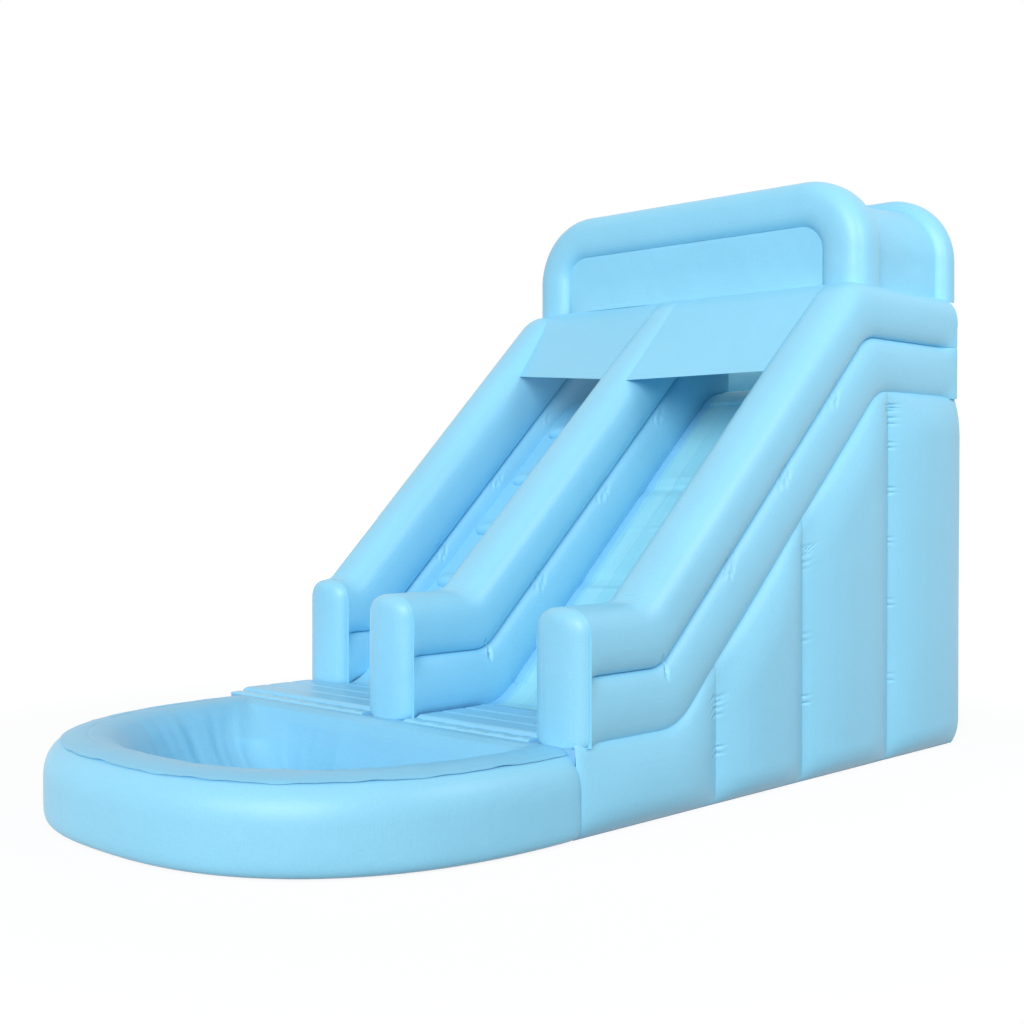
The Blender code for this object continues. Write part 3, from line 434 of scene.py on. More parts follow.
def tidied(obj: Piece, closed: bool, facing: Optional[Sequence[float]] = None) -> Piece:
    """Merges doubles, fills open ends and turns the faces outwards.

    Args:
        obj: The piece.
        closed: Whether its open ends are filled.
        facing: Where an open sheet faces.

    Returns:
        The same piece.
    """
    pick(obj)
    bpy.ops.object.mode_set(mode="EDIT")
    bpy.ops.mesh.select_all(action="SELECT")
    bpy.ops.mesh.remove_doubles(threshold=0.00002)
    if closed:
        bpy.ops.mesh.select_all(action="DESELECT")
        bpy.ops.mesh.select_non_manifold()
        bpy.ops.mesh.fill_holes(sides=0)
    bpy.ops.mesh.select_all(action="SELECT")
    bpy.ops.mesh.normals_make_consistent(inside=False)
    bpy.ops.object.mode_set(mode="OBJECT")
    if facing is not None:
        nothing = 0 * obj.data.polygons[0].normal
        total = sum((face.normal * face.area for face in obj.data.polygons), start=nothing)
        if total.dot(facing) < 0:
            bpy.ops.object.mode_set(mode="EDIT")
            bpy.ops.mesh.flip_normals()
            bpy.ops.object.mode_set(mode="OBJECT")
    return obj


def apply_modifier(obj: Piece, kind: str, **settings: Any) -> None:
    """Adds a modifier with its settings and applies it.

    Args:
        obj: The piece.
        kind: The modifier's type.
        settings: Its settings by name.
    """
    pick(obj)
    modifier = obj.modifiers.new(kind.lower(), kind)
    for key, value in settings.items():
        setattr(modifier, key, value)
    bpy.ops.object.modifier_apply(modifier=modifier.name)


def smoothed(obj: Piece, degrees: float = 40) -> Piece:
    """Shades a piece smooth.

    Args:
        obj: The piece.
        degrees: The angle past which an edge stays sharp.

    Returns:
        The same piece.
    """
    pick(obj)
    bpy.ops.object.shade_smooth_by_angle(angle=math.radians(degrees))
    return obj


def chamber(name: str, places: Array) -> Piece:
    """A closed tube through rings of places."""
    return smoothed(tidied(bent_grid(name, places, wrap=True), closed=True), 50)


def cloth(name: str, places: Array, facing: Sequence[float], thickness: float = 0.003,
          offset: float = -1.0) -> Piece:
    """A sheet with a thickness.

    Args:
        name: The piece's name.
        places: (rows, columns, 3) places of its face.
        facing: Where the face looks.
        thickness: Thickness of the cloth.
        offset: -1 puts the thickness behind the face, 1 in front.

    Returns:
        The new object.
    """
    obj = tidied(bent_grid(name, places), closed=False, facing=facing)
    apply_modifier(obj, "SOLIDIFY", thickness=thickness, offset=offset)
    return smoothed(obj)


def swept(path: Array, section: Array, sideways: Array, closed: bool = False) -> Array:
    """Rings of a section along a path.

    Args:
        path: (n, 3) places.
        section: (m, 2) places, first along sideways and then square to it and to the path.
        sideways: (3,) or (n, 3) unit vectors square to the path.
        closed: Whether the path meets its own start.

    Returns:
        (n, m, 3) places, or (n + 1, m, 3) on a closed path.
    """
    if closed:
        along = np.roll(path, -1, 0) - np.roll(path, 1, 0)
    else:
        along = np.gradient(path, axis=0)
    along /= np.linalg.norm(along, axis=1, keepdims=True)
    side = np.broadcast_to(sideways, path.shape)
    up = np.cross(along, side)
    rings = path[:, None] + section[None, :, :1] * side[:, None] + section[None, :, 1:] * up[:, None]
    return np.concatenate([rings, rings[:1]]) if closed else rings


def circle(radius: float, count: int) -> Array:
    """(count, 2) places round a circle."""
    turn = np.linspace(0, 2 * math.pi, count, endpoint=False)
    return radius * np.stack([np.cos(turn), np.sin(turn)], -1)


def block(name: str, low: Sequence[float], high: Sequence[float], round_edge: float,
          segments: int = 3) -> Piece:
    """A cube primitive between two corners, with its edges rounded by the bevel operator.

    Args:
        name: The piece's name.
        low: The lowest corner.
        high: The highest corner.
        round_edge: Radius of its edges.
        segments: Steps of the round.

    Returns:
        The new object.
    """
    low_corner, high_corner = np.array(low, float), np.array(high, float)
    middle = (low_corner + high_corner) / 2 + np.array([0, FRONT, 0])
    clear_selection()
    bpy.ops.mesh.primitive_cube_add(size=1.0, location=tuple(middle), scale=tuple(high_corner - low_corner))
    obj = bpy.context.active_object
    obj.name = obj.data.name = name
    bpy.ops.object.transform_apply(location=True, rotation=True, scale=True)
    bpy.ops.object.mode_set(mode="EDIT")
    bpy.ops.mesh.select_all(action="SELECT")
    bpy.ops.mesh.bevel(offset=round_edge, segments=segments, affect="EDGES")
    bpy.ops.object.mode_set(mode="OBJECT")
    return smoothed(obj)


def joined(name: str, parts: Sequence[Piece]) -> Piece:
    """Makes several objects one.

    Args:
        name: The new piece's name.
        parts: The objects.

    Returns:
        The joined object.
    """
    pick(parts[0])
    for part in parts[1:]:
        part.select_set(True)
    bpy.ops.object.join()
    obj = bpy.context.active_object
    obj.name = obj.data.name = name
    return obj


# Materials

Number = Union[float, "Wire"]


def math_method(kind: str, turned: bool = False) -> Callable[["Wire", Number], "Wire"]:
    """A method of Wire that adds a Math node.

    Args:
        kind: The node's operation.
        turned: Whether the wire is the second of the two values.

    Returns:
        The method.
    """
    def made(wire: "Wire", other: Number) -> "Wire":
        """The node's result on the two values."""
        return wire.maths(kind, *((other, wire) if turned else (wire, other)))
    return made


class Wire:
    """A socket of a node tree on which Python's operators add Math nodes."""

    __add__, __radd__ = math_method("ADD"), math_method("ADD", turned=True)
    __sub__, __rsub__ = math_method("SUBTRACT"), math_method("SUBTRACT", turned=True)
    __mul__, __rmul__ = math_method("MULTIPLY"), math_method("MULTIPLY", turned=True)
    __truediv__, __rtruediv__ = math_method("DIVIDE"), math_method("DIVIDE", turned=True)
    bigger = math_method("MAXIMUM")

    def __init__(self, graph: "Graph", socket: bpy.types.NodeSocket) -> None:
        """Keeps the graph and the socket."""
        self.graph = graph
        self.socket = socket

    def maths(self, operation: str, *values: Number, clamp: bool = False) -> "Wire":
        """A Math node on the values."""
        return self.graph.node("ShaderNodeMath", {"operation": operation, "use_clamp": clamp},
                               dict(enumerate(values)))

    def __abs__(self) -> "Wire":
        """The size without its sign."""
        return self.maths("ABSOLUTE", self)

    def sine(self) -> "Wire":
        """The sine."""
        return self.maths("SINE", self)

    def band(self, start: float, end: float) -> "Wire":
        """0 up to start, 1 from end on, and a smooth step between; end may be below start."""
        return self.graph.node("ShaderNodeMapRange", {"interpolation_type": "SMOOTHSTEP"},
                               {"Value": self, "From Min": start, "From Max": end})


class Graph:
    """The node tree of one material, from a blank one to a Principled surface."""

    def __init__(self, owner: Union[bpy.types.Material, bpy.types.World]) -> None:
        """Empties the tree of a material or world.

        Args:
            owner: The material or world.
        """
        owner.use_nodes = True
        self.owner = owner
        self.tree = owner.node_tree
        self.tree.nodes.clear()

    @classmethod
    def of_material(cls, name: str) -> "Graph":
        """The graph of a new material."""
        return cls(bpy.data.materials.new(name))

    def node(self, kind: str, settings: Optional[dict[str, Any]] = None,
             inputs: Optional[dict[Union[int, str], Any]] = None, output: Union[int, str] = 0) -> Wire:
        """Adds any node.

        Args:
            kind: The node's type.
            settings: Its properties, set before its sockets. A ramp's are its stops.
            inputs: Its sockets' values or links, by name or number.
            output: Which output is wanted.

        Returns:
            The output as a wire.
        """
        made = self.tree.nodes.new(kind)
        for key, value in (settings or {}).items():
            if key == "stops":
                ramp = made.color_ramp
                for spare in list(ramp.elements)[1:]:
                    ramp.elements.remove(spare)
                ramp.elements[0].position, ramp.elements[0].color = value[0]
                for place, colour in value[1:]:
                    ramp.elements.new(place).color = colour
            else:
                setattr(made, key, value)
        for key, value in (inputs or {}).items():
            socket = made.inputs[key]
            if isinstance(value, Wire):
                self.tree.links.new(value.socket, socket)
            else:
                socket.default_value = value
        return Wire(self, made.outputs[output])

    def place(self) -> Wire:
        """The place on the object."""
        return self.node("ShaderNodeTexCoord", output="Object")

    def lay(self) -> Wire:
        """The place on the cloth as it was cut, in metres."""
        return self.node("ShaderNodeTexCoord", output="UV")

    def split(self, vector: Wire) -> tuple[Wire, Wire, Wire]:
        """The three parts of a vector."""
        outs = self.node("ShaderNodeSeparateXYZ", inputs={0: vector}).socket.node.outputs
        return Wire(self, outs[0]), Wire(self, outs[1]), Wire(self, outs[2])

    def noise(self, vector: Wire, scale: float, detail: float = 2.0, rough: float = 0.5,
              stretch: Optional[Sequence[float]] = None) -> Wire:
        """A noise value.

        Args:
            vector: Where it is read.
            scale: Its scale, in cycles a metre.
            detail: Its detail.
            rough: Its roughness.
            stretch: Scale of each axis before that.

        Returns:
            The value, about 0.5 on average.
        """
        if stretch is not None:
            vector = self.node("ShaderNodeMapping", inputs={"Vector": vector, "Scale": tuple(stretch)})
        return self.node("ShaderNodeTexNoise", inputs={"Vector": vector, "Scale": scale, "Detail": detail,
                                                      "Roughness": rough})

    def blend(self, share: Number, first: Any, second: Any) -> Wire:
        """A colour between two."""
        ends = {n: end if isinstance(end, Wire) else (*end, 1) for n, end in ((6, first), (7, second))}
        return self.node("ShaderNodeMix", {"data_type": "RGBA"}, {0: share, **ends}, output=2)

    def bump(self, height: Wire, distance: float, under: Optional[Wire] = None) -> Wire:
        """A normal from a height in metres times the distance."""
        below = {} if under is None else {"Normal": under}
        return self.node("ShaderNodeBump", inputs={"Height": height, "Distance": distance, "Strength": 1.0, **below})

    def surface(self, inputs: dict[str, Any]) -> bpy.types.Material:
        """Ends the tree in a Principled surface with these sockets, and gives the material."""
        self.end(self.node("ShaderNodeBsdfPrincipled", inputs=inputs))
        return self.owner

    def end(self, shader: Wire, kind: str = "Material") -> None:
        """Links a shader to the tree's output."""
        out = self.tree.nodes.new(f"ShaderNodeOutput{kind}")
        self.tree.links.new(shader.socket, out.inputs["Surface"])


def toned(colour: Colour, share: float) -> Colour:
    """A colour made darker or lighter."""
    return tuple(min(1.0, part * share) for part in colour)


@dataclass(frozen=True)
class CoatedCloth:
    """Coated cloth: a fine weave under a satin coat, with faint random unevenness all over.

    seams are planes (axis, place) along which the cloth is sewn, and hem asks for a sewn edge.
    """

    name: str
    colour: Colour = (0.285, 0.69, 0.925)
    roughness: float = 0.42
    coat: float = 0.12
    weave: float = 0.013
    tone: float = 0.05
    seams: tuple[tuple[int, float], ...] = ()
    hem: bool = False

    def seam_mask(self, graph: Graph, place: Wire) -> Optional[Wire]:
        """Marks the sewn lines.

        Args:
            graph: The material's graph.
            place: The place on the object.

        Returns:
            1 on the lines and 0 beside them, or None where nothing is sewn.
        """
        parts = graph.split(place)
        mask: Optional[Wire] = None
        for axis, at in self.seams:
            line = abs(parts[axis] - at).band(0.009, 0.004)
            mask = line if mask is None else mask.bigger(line)
        return mask

    def material(self) -> bpy.types.Material:
        """Builds the material.

        Returns:
            The material.
        """
        graph = Graph.of_material(self.name)
        place = graph.place()
        x, y, z = graph.split(place)
        pitch = 2 * math.pi / self.weave
        weave = ((x * pitch).sine() + (y * pitch).sine() + (z * pitch).sine()) / 3
        mottle = graph.noise(place, 62, 2.0, 0.6)
        grain = graph.noise(place, 330, 1.0)
        broad = graph.noise(place, 1.3, 2.0)
        soft = graph.noise(place, 7.0, 2.0, 0.45)
        shade = (mottle - 0.5) * 1.1 + (broad - 0.5) * 0.9 + weave * 0.12 + 0.5
        colour = graph.blend(shade, toned(self.colour, 1 - self.tone), toned(self.colour, 1 + self.tone))
        height = (mottle - 0.5) * 0.55 + weave * 0.3 + (grain - 0.5) * 0.12
        mask = self.seam_mask(graph, place)
        if mask is not None:
            stitch = ((z + y + x) * (2 * math.pi / 0.012)).sine().band(0.1, 0.4) * mask
            colour = graph.blend(mask * 0.14 + stitch * 0.08, colour, toned(self.colour, 0.55))
            height = height - mask * 1.1 + stitch * 0.5
        if self.hem:
            run, edge, _ = graph.split(graph.lay())
            hem = edge.band(0.05, 0.042) * edge.band(0.001, 0.004)
            thread = abs(edge - 0.036).band(0.0032, 0.0016) * (run * (2 * math.pi / 0.009)).sine().band(-0.3, 0.2)
            height = height + hem * 0.6 + thread * 0.9
            colour = graph.blend(thread * 0.45, colour, toned(self.colour, 1.35))
        waves = graph.bump(soft, 0.004)
        normal = graph.bump(height, 0.0011, waves)
        rough = self.roughness + (mottle - 0.5) * 0.16 + (broad - 0.5) * 0.08
        return graph.surface({"Base Color": colour, "Roughness": rough, "Normal": normal,
                              "Coat Weight": self.coat, "Coat Roughness": 0.28, "Specular IOR Level": 0.42})


@dataclass(frozen=True)
class SlipCloth:
    """The slick wet sheet of a lane, sewn from lengthwise strips of slightly different tone."""

    name: str
    colour: Colour = (0.29, 0.71, 0.86)
    second: Colour = (0.36, 0.77, 0.88)
    strip: float = 0.18

    def material(self) -> bpy.types.Material:
        """Builds the material.

        Returns:
            The material.
        """
        graph = Graph.of_material(self.name)
        place = graph.place()
        wave = (graph.split(place)[0] * (math.pi / self.strip)).sine()
        strip = wave.band(-0.06, 0.06)
        seam = abs(wave).band(0.11, 0.05)
        mottle = graph.noise(place, 55, 2.0)
        run = graph.noise(place, 3.0, 3.0, 0.55, (3.0, 0.7, 0.7))
        colour = graph.blend(strip * 0.55 + (run - 0.5) * 0.5 + 0.2, self.colour, self.second)
        colour = graph.blend(seam * 0.18, colour, toned(self.colour, 0.6))
        waves = graph.bump(run, 0.012)
        normal = graph.bump((mottle - 0.5) * 0.6 - seam * 0.7, 0.001, waves)
        return graph.surface({"Base Color": colour, "Roughness": 0.3 + (mottle - 0.5) * 0.12, "Normal": normal,
                              "Coat Weight": 0.2, "Coat Roughness": 0.2})


@dataclass(frozen=True)
class Webbing:
    """Woven strap: ribs across it, a finer twill along it and paler patches of wear."""

    name: str
    colour: Colour = (0.13, 0.34, 0.52)
    rib: float = 0.0032
    axis: int = 1

    def material(self) -> bpy.types.Material:
        """Builds the material.

        Returns:
            The material.
        """
        graph = Graph.of_material(self.name)
        place = graph.place()
        parts = graph.split(place)
        ribs = (parts[self.axis] * (2 * math.pi / self.rib)).sine()
        twill = ((parts[0] + parts[2]) * (2 * math.pi / (self.rib * 0.7))).sine()
        fuzz = graph.noise(place, 900, 2.0)
        worn = graph.noise(place, 24, 3.0, 0.6)
        colour = graph.blend(ribs * 0.2 + twill * 0.12 + (fuzz - 0.5) * 0.5 + 0.5,
                             toned(self.colour, 0.72), toned(self.colour, 1.22))
        colour = graph.blend(worn.band(0.5, 0.75) * 0.3, colour, (0.4, 0.55, 0.66))
        normal = graph.bump(ribs * 0.5 + twill * 0.25 + (fuzz - 0.5) * 0.6, 0.0007)
        return graph.surface({"Base Color": colour, "Roughness": 0.78 + (worn - 0.5) * 0.2, "Normal": normal,
                              "Sheen Weight": 0.25, "Sheen Roughness": 0.5})


@dataclass(frozen=True)
class PlatedSteel:
    """Plated steel, with fine scratches and dull patches."""

    name: str
    colour: Colour = (0.62, 0.64, 0.66)

    def material(self) -> bpy.types.Material:
        """Builds the material.

        Returns:
            The material.
        """
        graph = Graph.of_material(self.name)
        place = graph.place()
        dull = graph.noise(place, 90, 3.0, 0.6)
        scratch = graph.noise(place, 700, 1.0, 0.5, (1, 9, 1))
        colour = graph.blend(dull.band(0.4, 0.75) * 0.5, self.colour, (0.42, 0.43, 0.44))
        normal = graph.bump((scratch - 0.5) * 0.6 + (dull - 0.5) * 0.4, 0.0003)
        return graph.surface({"Base Color": colour, "Roughness": 0.26 + dull.band(0.35, 0.8) * 0.25,
                              "Metallic": 1.0, "Normal": normal})


class Finishes:
    """The materials, each made once."""

    def __init__(self) -> None:
        """Makes every finish."""
        self.tube = CoatedCloth("inflated_cloth", coat=0.24).material()
        self.side = CoatedCloth("side_wall_cloth", seams=tuple((1, FRONT + at) for at in PLAN.side_seams)).material()
        self.back = CoatedCloth("back_wall_cloth", seams=tuple((0, n * PLAN.cell) for n in (-1, 0, 1))).material()
        self.pool = CoatedCloth("pool_cloth").material()
        self.hung = CoatedCloth("hung_cloth", colour=(0.28, 0.69, 0.935), roughness=0.46, coat=0.08,
                                hem=True).material()
        # The liner gets a darker copy of the tube's blue: painted shade for its up-facing cover, and the basin inside
        # it shares that darker colour.
        self.liner = CoatedCloth("liner_cloth", colour=(0.228, 0.6, 0.85), roughness=0.42, coat=0.1,
                                 hem=True).material()
        self.pad = CoatedCloth("landing_cloth", colour=(0.27, 0.65, 0.9), roughness=0.4).material()
        self.inside = CoatedCloth("inner_cloth", colour=(0.24, 0.55, 0.8), roughness=0.55, coat=0.0).material()
        self.slip = SlipCloth("slip_cloth").material()
        self.strap = Webbing("webbing_strap").material()
        self.tape = Webbing("zip_tape", colour=(0.1, 0.26, 0.4), axis=0).material()
        self.steel = PlatedSteel("plated_steel").material()


class Hold(Enum):
    """How a piece of cloth is kept, or that it is a filled chamber."""

    HARD = "hard"
    FULL = "full"


def settle(obj: Piece, finish: bpy.types.Material, nodes: Sequence[str] = (),
           body: str = BODY) -> Piece:
    """Dresses a finished piece and fixes it to its body.

    Args:
        obj: The piece.
        finish: Its material.
        nodes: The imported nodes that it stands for.
        body: The body that it rides on.

    Returns:
        The same piece.
    """
    obj.data.materials.clear()
    obj.data.materials.append(finish)
    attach(obj, body)
    if nodes:
        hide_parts(*nodes)
    LOG.info("%s: %d vertices, stands for %s", obj.name, len(obj.data.vertices), ", ".join(nodes) or "nothing")
    return obj


def inflated(node: str, rings: Array, finish: bpy.types.Material, word: str = "skin") -> Piece:
    """A filled chamber through rings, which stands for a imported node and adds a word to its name."""
    return settle(chamber(f"{node}_{word}", rings), finish, [node])


def redress(node: str, finish: bpy.types.Material) -> None:
    """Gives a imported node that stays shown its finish.

    Args:
        node: The node.
        finish: Its material.
    """
    obj = frame["nodes"][node]
    if not obj.data.materials:
        obj.data.materials.append(finish)
    for entry in obj.material_slots:
        entry.material = finish
    LOG.info("%s: the packed solid, dressed", node)


# Rails


@dataclass
class Rails:
    """Six bent tubes behind three posts, and the two tubes across the back of the platform."""

    finishes: Finishes
    full: float = PLAN.rail_width / 2 + 0.045
    edge: float = 0.158
    power: float = 2.0
    dome_start: float = 0.42
    dome_power: float = 2.6
    end_round: float = 0.07
    end_scale: float = 0.86
    post_depth: float = 0.1
    post_round: float = 0.15
    post_half_width: float = 0.24
    post_top_round: float = 0.1
    post_power: float = 2.5
    post_dome: float = 0.82
    left_back: float = PLAN.post_set_back
    left_feet: tuple[float, float, float] = (0.33, 0.39, 0.268)
    left_heads: tuple[float, float, float] = (0.35, 0.35, 0.125)
    left_radius: float = 0.17
    blunt_front: float = 0.15
    blunt_rear: float = 0.24
    gather_step: float = 0.012
    gather_width: float = 0.0125
    gather_lengths: tuple[float, float] = (0.05, 0.085)
    gather_depths: tuple[float, float] = (0.011, 0.016)
    side_groups: tuple[float, ...] = (1.55, 2.27, 2.55, 2.83)
    centre_groups: tuple[float, ...] = (1.5, 2.2, 2.5, 2.8)
    crest_marks: tuple[float, ...] = tuple(1.02 + n * 0.16 for n in range(7))
    counts: tuple[int, ...] = (12, 24, 96, 20, 22)
    seed: int = 11

    def lines(self, side: Side) -> list[BentLine]:
        """The three lines that a rail's tubes lie between.

        Args:
            side: The rail.

        Returns:
            The seam under it, the crease between its tubes and its crest.
        """
        left = side is Side.LEFT
        feet, heads = (self.left_feet, self.left_heads) if left else ((0.0,) * 3,) * 2
        front = (self.left_back if left else 0.0) + self.post_depth
        back = (PLAN.centre_back if side is Side.CENTRE else PLAN.length) - self.end_round
        radii = (PLAN.foot_radius, PLAN.crease_radius, self.left_radius if left else PLAN.crease_radius)
        return [BentLine(front, PLAN.foot + feet[n] - PLAN.mitre(n * PLAN.tube),
                         PLAN.head + heads[n] - PLAN.mitre(n * PLAN.tube), back,
                         PLAN.base + n * PLAN.tube, PLAN.tower + n * PLAN.tube, radii[n])
                for n in range(3)]

    def x_of(self, side: Side) -> float:
        """Distance of a rail from the centre line."""
        return {Side.LEFT: -PLAN.rail_centre, Side.CENTRE: 0.0, Side.RIGHT: PLAN.rail_centre}[side]

    def flank(self, share: Array) -> Array:
        """Half width of a tube at a share of its height, drawn in at both seams."""
        inside = np.clip(1 - np.abs(2 * share - 1) ** self.power, 0, 1)
        return self.edge + (self.full - self.edge) * inside ** (1 / self.power)

    def lower_section(self) -> Array:
        """(x, share of height) round a lower tube."""
        side = np.stack([self.flank(eased(33)), eased(33)], -1)
        return np.concatenate([side, side[::-1] * (-1, 1)])

    def upper_section(self) -> Array:
        """The section of an upper tube, with its domed top.

        Returns:
            (x, share of height) round it.
        """
        share = eased(25)[:12] * 2 * self.dome_start / (2 * eased(25)[12])
        low = np.stack([self.flank(share / (2 * self.dome_start)), share], -1)
        turn = np.linspace(0, math.pi, 49)
        dome = np.stack([self.full * round_cosine(turn, self.dome_power),
                         self.dome_start + (1 - self.dome_start) * round_sine(turn, self.dome_power)], -1)
        return np.concatenate([low, dome, low[::-1] * (-1, 1)])

    def half_width_at(self, drop: Array) -> Array:
        """Half the width of an upper tube at a drop below its crest."""
        share = np.clip((1 - drop / PLAN.tube - self.dome_start) / (1 - self.dome_start), 0, 1)
        return self.full * (1 - share ** self.dome_power) ** (1 / self.dome_power)

    def rounded_back(self, rings: Array) -> Array:
        """Adds a tube's blunt rear end.

        Args:
            rings: The tube's rings.

        Returns:
            The rings with those of the end.
        """
        last = rings[-1]
        middle = last.mean(axis=0)
        added = []
        for turn in np.linspace(0, math.pi / 2, 8)[1:]:
            scale = self.end_scale + (1 - self.end_scale) * math.cos(turn)
            ring = middle + (last - middle) * scale
            ring[:, 1] = last[:, 1] + self.end_round * math.sin(turn)
            ring[:, 2] = np.maximum(ring[:, 2], last[:, 2].min())
            added.append(ring)
        return np.concatenate([rings, np.array(added)])

    def gathers(self, side: Side, low: BentLine, high: BentLine, share: float, places: Sequence[float],
                count: int = 4) -> list[Gather]:
        """Short creases in groups beside the seam of a tube, on both of its flanks.

        Args:
            side: The rail.
            low: The line under the tube.
            high: The line over it.
            share: The height of the groups on the tube.
            places: Their stations.
            count: How many creases each has.

        Returns:
            The creases.
        """
        chance = np.random.default_rng(self.seed)
        found = []
        for station in places:
            for flank in (-1, 1):
                for n in range(count):
                    at = np.array([station + (n - (count - 1) / 2) * self.gather_step + chance.uniform(-0.003, 0.003)])
                    start, end = low.at(at)[0], high.at(at)[0]
                    height = share + chance.uniform(-0.04, 0.04)
                    y, z = start + (end - start) * height
                    x = self.x_of(side) + flank * float(self.flank(np.array([height]))[0])
                    found.append(Gather((x, y, z), (-flank * 0.45, 0.35, 0.85), chance.uniform(*self.gather_lengths),
                                        self.gather_width, chance.uniform(*self.gather_depths)))
        return found

    def crest_wrinkles(self, side: Side, crest: BentLine) -> list[Gather]:
        """Creases across the top of an upper tube, where the bend at its foot presses it together.

        Args:
            side: The rail.
            crest: The line of its top.

        Returns:
            The creases.
        """
        chance = np.random.default_rng(self.seed + 3)
        found = []
        for mark in self.crest_marks:
            y, z = crest.at(np.array([mark + chance.uniform(-0.03, 0.03)]))[0]
            x = self.x_of(side) + chance.uniform(-0.05, 0.05)
            found.append(Gather((x, y, z), (1, 0.1, 0), 0.1, 0.014, chance.uniform(0.005, 0.009)))
        return found

    def tube(self, side: Side, upper: bool) -> Piece:
        """One tube of a rail, from its post to its blunt rear end.

        Args:
            side: The rail.
            upper: Whether it is the upper tube.

        Returns:
            The piece.
        """
        base, crease, crest = self.lines(side)
        low, high = (crease, crest) if upper else (base, crease)
        section = self.upper_section() if upper else self.lower_section()
        groups = self.centre_groups if side is Side.CENTRE else self.side_groups
        at = stations(self.counts, (*groups, *self.crest_marks) if upper else groups)
        start, end = low.at(at), high.at(at)
        share = section[:, 1][None, :, None]
        yz = start[:, None] + (end - start)[:, None] * share
        to_rear = (start[-1, 0] - yz[..., 0]) / self.blunt_rear
        to_front = (yz[..., 0] - start[0, 0]) / self.blunt_front
        blunt = np.clip(1 - np.minimum(to_rear, to_front), 0, 1) ** 2
        flank = np.where((section[:, 1] < self.dome_start) | (not upper), 0.985 * self.full, np.abs(section[:, 0]))
        x = self.x_of(side) + np.sign(section[:, 0]) * (np.abs(section[:, 0]) * (1 - blunt) + flank * blunt)
        rings = np.concatenate([x[..., None], yz], -1)
        creases = self.gathers(side, low, high, 0.12 if upper else 0.88, groups, 3 if upper else 4)
        if upper:
            creases += self.crest_wrinkles(side, crest)
        rings = self.rounded_back(pressed(rings, creases, wrap=True))
        return inflated(f"{side.value}_rail_{'upper' if upper else 'lower'}_tube", rings, self.finishes.tube)

    def post(self, side: Side) -> Piece:
        """The upright front of a rail: half round in plan, with a rounded top.

        Args:
            side: The rail.

        Returns:
            The piece.
        """
        height = 2 * PLAN.tube
        front = self.left_back if side is Side.LEFT else 0.0
        reach = self.post_dome * np.linspace(0, 1, 36, endpoint=False) ** 1.3
        low = np.stack([np.ones_like(reach), reach], -1)
        turn = np.linspace(0, math.pi, 41)
        dome = np.stack([round_cosine(turn, self.post_power),
                         self.post_dome + (1 - self.post_dome) * round_sine(turn, self.post_power)], -1)
        section = np.concatenate([low, dome, low[::-1] * (-1, 1)])
        last = math.acos((1 - self.post_depth / self.post_round) ** (self.post_power / 2))
        rings = []
        for angle in np.linspace(0, last, 22):
            wide = float(round_sine(np.array(angle), self.post_power))
            run = self.post_round * (1 - float(round_cosine(np.array(angle), self.post_power)))
            top = height - self.post_top_round * (1 - wide)
            waist = 1 - 0.15 * rolled(section[:, 1], 0.07)
            rings.append(points(self.x_of(side) + self.post_half_width * wide * section[:, 0] * waist, front + run,
                                PLAN.base + section[:, 1] * top))
        places = np.array(rings)
        chance = np.random.default_rng(self.seed + 5)
        creases = [Gather((self.x_of(side) + flank * 0.1, front, PLAN.base + PLAN.tube * chance.uniform(0.5, 1.6)),
                          (1, 0, 0.1), 0.035, 0.008, 0.005) for flank in (-1, 0, 1, 1)]
        return inflated(f"{side.value}_post", pressed(places, creases, wrap=True), self.finishes.tube)

    def rear(self, upper: bool) -> Piece:
        """A tube across the back of the platform, between the side rails.

        Args:
            upper: Whether it is the upper tube.

        Returns:
            The piece.
        """
        reach = PLAN.lane_outer - PLAN.bulge
        middle = PLAN.length - PLAN.rail_width / 2
        section = self.upper_section() if upper else self.lower_section()
        level = PLAN.tower + (PLAN.tube if upper else 0)
        rings = []
        for share in eased(41):
            scale = self.end_scale + (1 - self.end_scale) * min(1.0, math.sqrt(min(share, 1 - share) / 0.03))
            rings.append(points(reach * (2 * share - 1), middle + section[:, 0] * scale,
                                level + section[:, 1] * PLAN.tube * np.where(section[:, 1] > 0, scale, 1)))
        return inflated(f"rear_rail_{'upper' if upper else 'lower'}_tube", np.array(rings), self.finishes.tube)

    def build(self) -> None:
        """Makes every tube and post."""
        for side in Side:
            self.tube(side, upper=False)
            self.tube(side, upper=True)
            self.post(side)
        for upper in (False, True):
            self.rear(upper)


# Slide body


